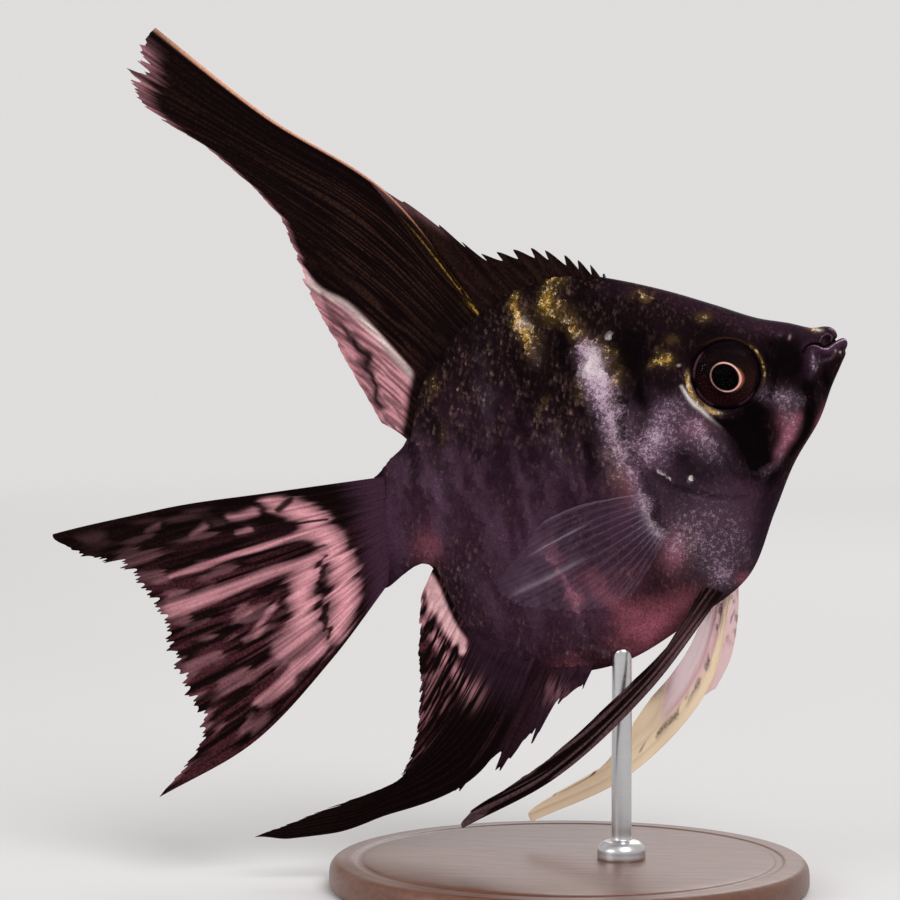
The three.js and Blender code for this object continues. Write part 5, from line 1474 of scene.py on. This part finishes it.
class ANGELFISH_OT_upright_fins(bpy.types.Operator):
    """Add the dorsal, anal and tail fins"""

    bl_idname = "angelfish.upright_fins"
    bl_label = "Dorsal, anal and tail fins"

    def execute(self, context):
        settings = context.scene.angelfish_fins
        dark = dark_fin_paint("dark_web", settings, settings.brown, settings.edge)
        plum = dark_fin_paint("mottled_web", settings, settings.plum, settings.base)
        for name, maker, material, node in (("dorsal_web", dorsal_parts, dark, "dorsal_fin"),
                                            ("anal_web", anal_parts, plum, "anal_fin"),
                                            ("tail_web", tail_parts, plum, "tail_fin")):
            place_piece(mesh_object(name, *maker(settings)), material, "dark_fin", node)
        return {"FINISHED"}


class ANGELFISH_OT_paired_fins(bpy.types.Operator):
    """Add the clear pectoral fins and the long pelvic fins"""

    bl_idname = "angelfish.paired_fins"
    bl_label = "Pectoral and pelvic fins"

    def execute(self, context):
        settings = context.scene.angelfish_fins
        clear = clear_fin_paint("clear_web", settings)
        dark = dark_fin_paint("grey_web", settings, GREY_MOTTLE, settings.edge)
        light = light_fin_paint("light_web", settings)
        for name, parts, material, slot, node in (
                ("pectoral_web_right", pectoral_parts(-1), clear, "clear_fin", "pectoral_fin_right"),
                ("pectoral_web_left", pectoral_parts(1), clear, "clear_fin", "pectoral_fin_left"),
                ("pelvic_web_right", pelvic_right_parts(), dark, "dark_fin", "pelvic_fin_right"),
                ("pelvic_web_left", pelvic_left_parts(), light, "pale_fin", "pelvic_fin_left")):
            place_piece(mesh_object(name, *parts), material, slot, node)
        return {"FINISHED"}


# -------- eyes

# Half the depth of an eyeball, and the y of its widest ring.
EYE_DEPTH = 2.3
EYE_Y = 2.6
# Thickness of a cornea's outer and inner wall over the eyeball.
CORNEA_WALLS = (0.1, 0.02)
# The pupil's middle from the eye's, its lean in degrees, and how much longer it is than wide.
PUPIL_SHIFT, PUPIL_LEAN, PUPIL_STRETCH = (-0.05, -0.22), -38, 1.07
# Rows and columns of an eyeball and of each wall of a cornea.
EYE_GRID, CORNEA_GRID = (110, 144), (40, 96)
# Colours of the pupil and of the iris, from its ground to its bright streaks.
PUPIL_BLACK = (0.0003, 0.0003, 0.0003)
IRIS_SHADE, IRIS_EDGE = (0.004, 0.0015, 0.002), (0.003, 0.0012, 0.002)
IRIS_RED, IRIS_BROWN = (0.016, 0.0018, 0.0028), (0.034, 0.011, 0.0075)
IRIS_LILAC, IRIS_GLOW = (0.2, 0.085, 0.12), (0.42, 0.13, 0.07)


def past_pupil(x, z, radius):
    """Distance past the edge of the pupil at places in the side view.

    The pupil is an ellipse a little below the eye's middle that leans to the lower front. The distance
    is how far the place is from its middle, with the two axes evened out, less the radius.
    """
    lean = math.radians(PUPIL_LEAN)
    x, z = x - EYE_X - PUPIL_SHIFT[0], z - EYE_Z - PUPIL_SHIFT[1]
    along = (x * math.cos(lean) + z * math.sin(lean)) / PUPIL_STRETCH
    across = (z * math.cos(lean) - x * math.sin(lean)) * PUPIL_STRETCH
    return np.hypot(along, across) - radius


def round_eye(side, t, turn, radius, depth):
    """Places on an eye, at angles t from its outer pole and turns round its axis, with their depths."""
    reach = radius * np.sin(t)
    return np.stack(np.broadcast_arrays(EYE_X + reach * np.cos(turn), side * (EYE_Y + depth),
                                        EYE_Z + reach * np.sin(turn)), -1)


def eye_places(side, radius, pupil):
    """An eyeball from its front pole to its back one.

    The front is lowered over the iris, raised in a thin ring at the pupil's rim, and lowered again
    inside the pupil, each by smooth steps of the distance from the pupil's edge.
    """
    rows, columns = EYE_GRID
    t = np.linspace(0.004, math.pi - 0.004, rows)[:, None]
    turn = (2 * math.pi * np.arange(columns) / columns)[None, :]
    r = radius * np.sin(t)
    beyond = past_pupil(EYE_X + r * np.cos(turn), EYE_Z + r * np.sin(turn), pupil)
    dish = 0.62 * fall(r, 3.1, 4) - 0.16 * fall(beyond, 0.2, 1)
    dish = dish - 0.08 * bell(beyond - 0.08, 0.12) - 0.22 * smooth(-beyond, 0, 1.2)
    folds = 0.05 * (noise(np.cos(turn) * 6 + 30, np.sin(turn) * 6 + 30, r * 0.9) - 0.5)
    depth = EYE_DEPTH * np.cos(t) - np.where(t < math.pi / 2, dish - folds, 0)
    return round_eye(side, t, turn, radius, depth)


def cornea_places(side, radius):
    """A thin clear cap over the front of an eyeball: its outer wall, then its inner one."""
    rows, columns = CORNEA_GRID
    t = np.concatenate([np.linspace(0.01, 1.22, rows), np.linspace(1.2, 0.01, rows)])[:, None]
    wall = np.repeat(CORNEA_WALLS, rows)[:, None]
    turn = (2 * math.pi * np.arange(columns) / columns)[None, :]
    return round_eye(side, t, turn, radius + wall, (EYE_DEPTH + wall) * np.cos(t))


def eye_paint(name, settings):
    """Black pupil, a bright ring painted as a highlight on the lens's rim, chestnut iris and lilac rim,
    each by steps of its layer's distance.
    """
    paint = Paint(name, Roughness=0.3, Specular_IOR_Level=0.006)
    beyond, radius, shine = paint.layer("rings")
    red, brown, rim = paint.layer("tints")
    fibre = paint.noise(0.26, detail=3.0)
    colour = paint.coats(
        IRIS_SHADE,
        (paint.noise(0.9).step(0.35, 0.7) * 0.8, settings.iris),
        (red * (fibre * 0.6 + 0.3), IRIS_RED),
        (brown * (fibre * 0.7 + 0.1), IRIS_BROWN),
        (radius.step(3.45, 3.75) * (1 - rim) * 0.8, IRIS_EDGE),
        (rim * fibre.step(0.2, 0.6) * 0.8, IRIS_LILAC),
        (brown * (1 - beyond.step(0.9, 2.6)) * 0.85, IRIS_GLOW),
        # Painted highlight: the bright ring round the pupil, by the strength in its layer.
        (beyond.step(-0.05, 0.3) * (1 - beyond.step(0.75, 1.2)) * shine, settings.ring),
        (1 - beyond.step(-0.3, 0.1), PUPIL_BLACK))
    paint.feed(Base_Color=colour)
    paint.bump(fibre, 0.02, 0.5)
    return paint.material


def eye_layers(points, pupil):
    """Point layers of an eyeball.

    Rings: distance past the pupil's edge in ring widths, radius, and the ring's strength. Tints: red,
    brown and lilac by windows of the turn in degrees from +X.
    """
    x, z = side_view(points)
    radius, front = eye_polar(x, z)
    turn = front % 360
    width = 0.19 + 0.05 * bell(front - 60, 50) + 0.1 * bell(front + 8, 30)
    # shine is the strength of the ring's painted highlight, weaker towards the back.
    weak = plateau(turn, 112, 140, 245, 270)
    shine = 1 - weak * (0.45 + 0.4 * noise(turn * 0.12, 4.5, 2.5))
    red = plateau(turn, 170, 195, 290, 330) * bell(radius - 3.0, 0.8)
    brown = bell(front + 12, 38) * fall(radius, 3.5, 4.3)
    lilac = union(plateau(turn, 132, 145, 178, 190), 0.8 * plateau(turn, 200, 212, 240, 252),
                  0.5 * plateau(turn, 288, 300, 318, 335))
    rim = lilac * bell(radius - 3.97, 0.13)
    return {"rings": np.stack([past_pupil(x, z, pupil) / width, radius, shine], -1),
            "tints": np.stack([red, brown, rim], -1)}


class ANGELFISH_OT_eyes(bpy.types.Operator):
    """Add both eyeballs and their clear corneas"""

    bl_idname = "angelfish.eyes"
    bl_label = "Eyes"

    def execute(self, context):
        settings = context.scene.angelfish_eyes
        radius, pupil = settings.radius / MM, settings.pupil / MM
        iris = eye_paint("eye_iris", settings)
        clear = Paint("eye_cornea", Roughness=0.03, Specular_IOR_Level=0.25, Alpha=0.03,
                      Base_Color=(0.01, 0.008, 0.01, 1.0)).material
        for word, side in (("right", -1), ("left", 1)):
            points, faces = capped_rings(eye_places(side, radius, pupil), side > 0)
            eye = mesh_object("eyeball_" + word, points, faces, eye_layers(points, pupil))
            place_piece(eye, iris, "eye", "eye_" + word)
            cornea = mesh_object("cornea_" + word, *capped_rings(cornea_places(side, radius), side > 0))
            place_piece(cornea, clear, "eye")
        return {"FINISHED"}


# -------- stand

def lathe(profile, centre, steps, columns=160):
    """A turned piece: a smooth curve through (radius, height) points, carried round an upright axis."""
    curve = line(profile, steps)
    turn = 2 * math.pi * np.arange(columns) / columns
    reach, height = curve[:, :1], np.maximum(curve[:, 1:], profile[0][1])
    return capped_rings(np.stack(np.broadcast_arrays(
        centre[0] + reach * np.cos(turn), centre[1] + reach * np.sin(turn), height), -1), True)


def node_box(node):
    """The lowest and highest corners of a node, in millimetres."""
    return [np.array(corner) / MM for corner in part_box(node)]


# Points of the turned base's section as (how far in from the edge, how far under the top): its foot
# rises from the floor, then come the edge, the shoulder, a groove and the flat top.
BASE_FOOT = ((1.4, 0), (0.5, 0.1), (0.04, 0.6), (0, 1.2))
BASE_TOP = ((0.02, 1.5), (0.2, 0.7), (0.8, 0.1), (1.8, 0), (3, 0), (3.3, 0.15), (3.7, 0.2),
            (4.1, 0.15), (4.4, 0.0))
# The collar as (how far in from its edge, how far over the base's top), and the rod in it.
COLLAR = ((0.3, -0.3), (0, 0.1), (0, 0.8), (0.1, 1.5), (0.7, 2.2), (1.3, 2.35))
ROD_RADIUS = 1.25
ROD_OVER = 0.4


class ANGELFISH_OT_stand(bpy.types.Operator):
    """Add the turned wooden base and the steel rod with its collar"""

    bl_idname = "angelfish.stand"
    bl_label = "Stand"

    def execute(self, context):
        settings = context.scene.angelfish_stand
        low, high = node_box("stand_base")
        middle, radius, top = (low + high) / 2, (high[0] - low[0]) / 2, high[2]
        profile = [(0.2, 0.0), *((radius - inward, height) for inward, height in BASE_FOOT),
                   *((radius - inward, top - under) for inward, under in BASE_TOP), (4.0, top), (0.2, top)]
        base = mesh_object("stand_disc", *lathe(profile, middle, 150))
        place_piece(base, wood_paint("turned_wood", settings), "wood", "stand_base")
        low, high = node_box("stand_rod")
        middle, collar, crown = (low + high) / 2, (high[0] - low[0]) / 2, high[2] + ROD_OVER
        rod = ROD_RADIUS
        profile = [(0.1, top - 0.3), *((collar - inward, top + over) for inward, over in COLLAR),
                   (rod + 0.12, top + 2.45), (rod, top + 2.7), (rod, top + 4.5), (rod, crown - 1.5),
                   (rod, crown - 0.4), (rod - 0.3, crown), (0.1, crown)]
        pillar = mesh_object("stand_pillar", *lathe(profile, middle, 140, 64))
        place_piece(pillar, steel_paint("satin_steel", settings), "steel", "stand_rod")
        return {"FINISHED"}


# Noise turned into this many dark and light rings of growth, and the darker tone of brushed steel.
GROWTH_RINGS = 60.0
BRUSHED_STEEL = (0.52, 0.52, 0.53)


def wood_paint(name, settings):
    """Turned hardwood: growth rings as stretched noise bands with fine pores, under a satin finish."""
    paint = Paint(name, Specular_IOR_Level=0.5, Coat_Weight=0.25, Coat_Roughness=0.25)
    bands = paint.noise(4.5, detail=3.0, stretch=(0.16, 1.0, 1.0))
    pores = paint.noise(0.55, detail=3.0, stretch=(0.06, 1.0, 1.0))
    wave = (bands * GROWTH_RINGS).maths("SINE", bands * GROWTH_RINGS) * 0.5 + 0.5
    colour = paint.coats(settings.wood, (wave * 0.5 + bands * 0.25, settings.grain),
                         (pores.step(0.56, 0.72) * 0.55, settings.grain))
    paint.feed(Base_Color=colour, Roughness=0.36 + pores * 0.16)
    paint.bump(pores, 0.03, 0.6)
    return paint.material


def steel_paint(name, settings):
    """Satin steel brushed round the rod."""
    paint = Paint(name, Metallic=1.0)
    brush = paint.noise(0.35, stretch=(0.05, 0.05, 1.0))
    paint.feed(Base_Color=paint.mix(brush, BRUSHED_STEEL, settings.steel), Roughness=0.24 + brush * 0.14)
    return paint.material


# -------- stage

# How far the floor reaches to each side and to the front, where the backdrop stands and how tall it
# is, in millimetres. Then the distances in metres over which the floor turns to its plain colour.
FLOOR_REACH, BACKDROP_Y, BACKDROP_TOP = 2600, 2200, 2400
PLAIN_FROM, PLAIN_AT = 0.16, 0.9
# Lamps: name, place and size in metres, and the setting of its power.
LAMPS = (("key_lamp", (0.3, -0.46, 0.62), 0.42, "key"), ("side_lamp", (-0.55, -0.42, 0.34), 0.4, "fill"),
         ("back_lamp", (0.1, 0.62, 0.46), 0.45, "fill"))
CAMERA_AIM = (0.98, 0.0, 54.6)


def sweep_places():
    """A floor that curves up into a backdrop: a straight run, a quarter circle and a straight rise."""
    bend = BACKDROP_TOP * 0.45
    turn = np.linspace(0, math.pi / 2, 24)
    start = BACKDROP_Y - bend
    y = [[-FLOOR_REACH], np.linspace(0, start, 6), start + bend * np.sin(turn), [BACKDROP_Y]]
    y = np.concatenate(y)
    z = np.concatenate([np.zeros(7), bend - bend * np.cos(turn), [BACKDROP_TOP]])
    x = np.linspace(-FLOOR_REACH, FLOOR_REACH, 9)
    return np.stack(np.broadcast_arrays(x[None, :], y[:, None], z[:, None]), -1)


def add_lamp(name, place, target, size, power):
    """A soft square lamp at a place in metres, turned to face a target."""
    light = bpy.data.lights.new(name, "AREA")
    light.shape = "SQUARE"
    light.size = size
    light.energy = power
    lamp = bpy.data.objects.new(name, light)
    lamp.location = place
    lamp.rotation_euler = (Vector(target) - Vector(place)).to_track_quat("-Z", "Y").to_euler()
    bpy.context.scene.collection.objects.link(lamp)


def even_world(settings):
    """Even white light that shows in the floor's colour to the camera and in reflections."""
    world = bpy.data.worlds.new("even_light")
    world.use_nodes = True
    nodes = Nodes(world.node_tree, "ShaderNodeOutputWorld")
    light, shown = (nodes.node("ShaderNodeBackground", {"Color": (*colour, 1.0), "Strength": strength})
                    for colour, strength in (((1.0, 1.0, 1.0), settings.sky), (settings.floor, 1.0)))
    seen = nodes.rays("Camera", "Glossy", "Transmission")
    nodes.connect(nodes.node("ShaderNodeMixShader", {0: seen, 1: light, 2: shown}),
                  nodes.end.inputs["Surface"])
    return world


def add_camera(scene, settings):
    """The camera, which looks at its aim from the settings' turn, height and distance."""
    azimuth, elevation = settings.azimuth, settings.elevation
    back = Vector((math.sin(azimuth) * math.cos(elevation), -math.cos(azimuth) * math.cos(elevation),
                   math.sin(elevation)))
    data = bpy.data.cameras.new("camera")
    data.sensor_width = 36.0
    data.lens = data.sensor_width * settings.distance / (2 * settings.view)
    camera = bpy.data.objects.new("camera", data)
    camera.location = Vector(CAMERA_AIM) * MM + back * settings.distance
    camera.rotation_euler = back.to_track_quat("Z", "Y").to_euler()
    scene.collection.objects.link(camera)
    scene.camera = camera


class ANGELFISH_OT_stage(bpy.types.Operator):
    """Add the pale floor and backdrop, soft lamps and the camera"""

    bl_idname = "angelfish.stage"
    bl_label = "Stage"

    def execute(self, context):
        settings = context.scene.angelfish_stage
        grid = sweep_places()
        faces = grid_faces(*grid.shape[:2])
        floor = mesh_object("floor", grid.reshape(-1, 3), [faces[:, ::-1]])
        paint = Paint("pale_floor", Roughness=0.9, Specular_IOR_Level=0.1)
        shade = tuple(0.94 * value for value in settings.floor)
        paint.feed(Base_Color=paint.mix(paint.noise(420.0), settings.floor, shade))
        paint.glow_far(settings.floor, PLAIN_FROM, PLAIN_AT)
        floor.data.materials.append(paint.material)
        context.scene.world = even_world(settings)
        low, high = CAD_BOX
        middle = ((low[0] + high[0]) / 2, 0.0, (low[2] + high[2]) / 2)
        for name, place, size, power in LAMPS:
            add_lamp(name, place, middle, size, getattr(settings, power))
        add_camera(context.scene, settings)
        context.scene.view_settings.view_transform = "Standard"
        return {"FINISHED"}


# -------- sidebar and registration

OPERATORS = (ANGELFISH_OT_skin, ANGELFISH_OT_scales, ANGELFISH_OT_eyes, ANGELFISH_OT_upright_fins,
             ANGELFISH_OT_paired_fins, ANGELFISH_OT_stand, ANGELFISH_OT_stage)
SETTINGS = {
    "angelfish_body": BodySettings,
    "angelfish_scales": ScaleSettings,
    "angelfish_fins": FinSettings,
    "angelfish_eyes": EyeSettings,
    "angelfish_stand": StandSettings,
    "angelfish_stage": StageSettings,
}


class ANGELFISH_PT_sidebar(bpy.types.Panel):
    """Lists the pieces in the order in which they are added, with their settings"""

    bl_idname = "ANGELFISH_PT_sidebar"
    bl_label = "Angelfish"
    bl_space_type = "VIEW_3D"
    bl_region_type = "UI"
    bl_category = "Angelfish"

    def draw(self, context):
        for operator in OPERATORS:
            self.layout.operator(operator.bl_idname)
        for key, group in SETTINGS.items():
            box = self.layout.box()
            box.label(text=group.__doc__.split(".")[0])
            for name in group.__annotations__:
                box.prop(getattr(context.scene, key), name)


def register():
    for group in (*SETTINGS.values(), *OPERATORS, ANGELFISH_PT_sidebar):
        bpy.utils.register_class(group)
    for key, group in SETTINGS.items():
        setattr(bpy.types.Scene, key, PointerProperty(type=group))


def unregister():
    for key in SETTINGS:
        delattr(bpy.types.Scene, key)
    for group in (ANGELFISH_PT_sidebar, *reversed(OPERATORS), *reversed(SETTINGS.values())):
        bpy.utils.unregister_class(group)


def main():
    """Adds every piece in order."""
    register()
    bpy.ops.angelfish.skin()
    bpy.ops.angelfish.scales()
    bpy.ops.angelfish.eyes()
    bpy.ops.angelfish.upright_fins()
    bpy.ops.angelfish.paired_fins()
    bpy.ops.angelfish.stand()
    bpy.ops.angelfish.stage()
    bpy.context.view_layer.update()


if __name__ == "__main__":
    main()
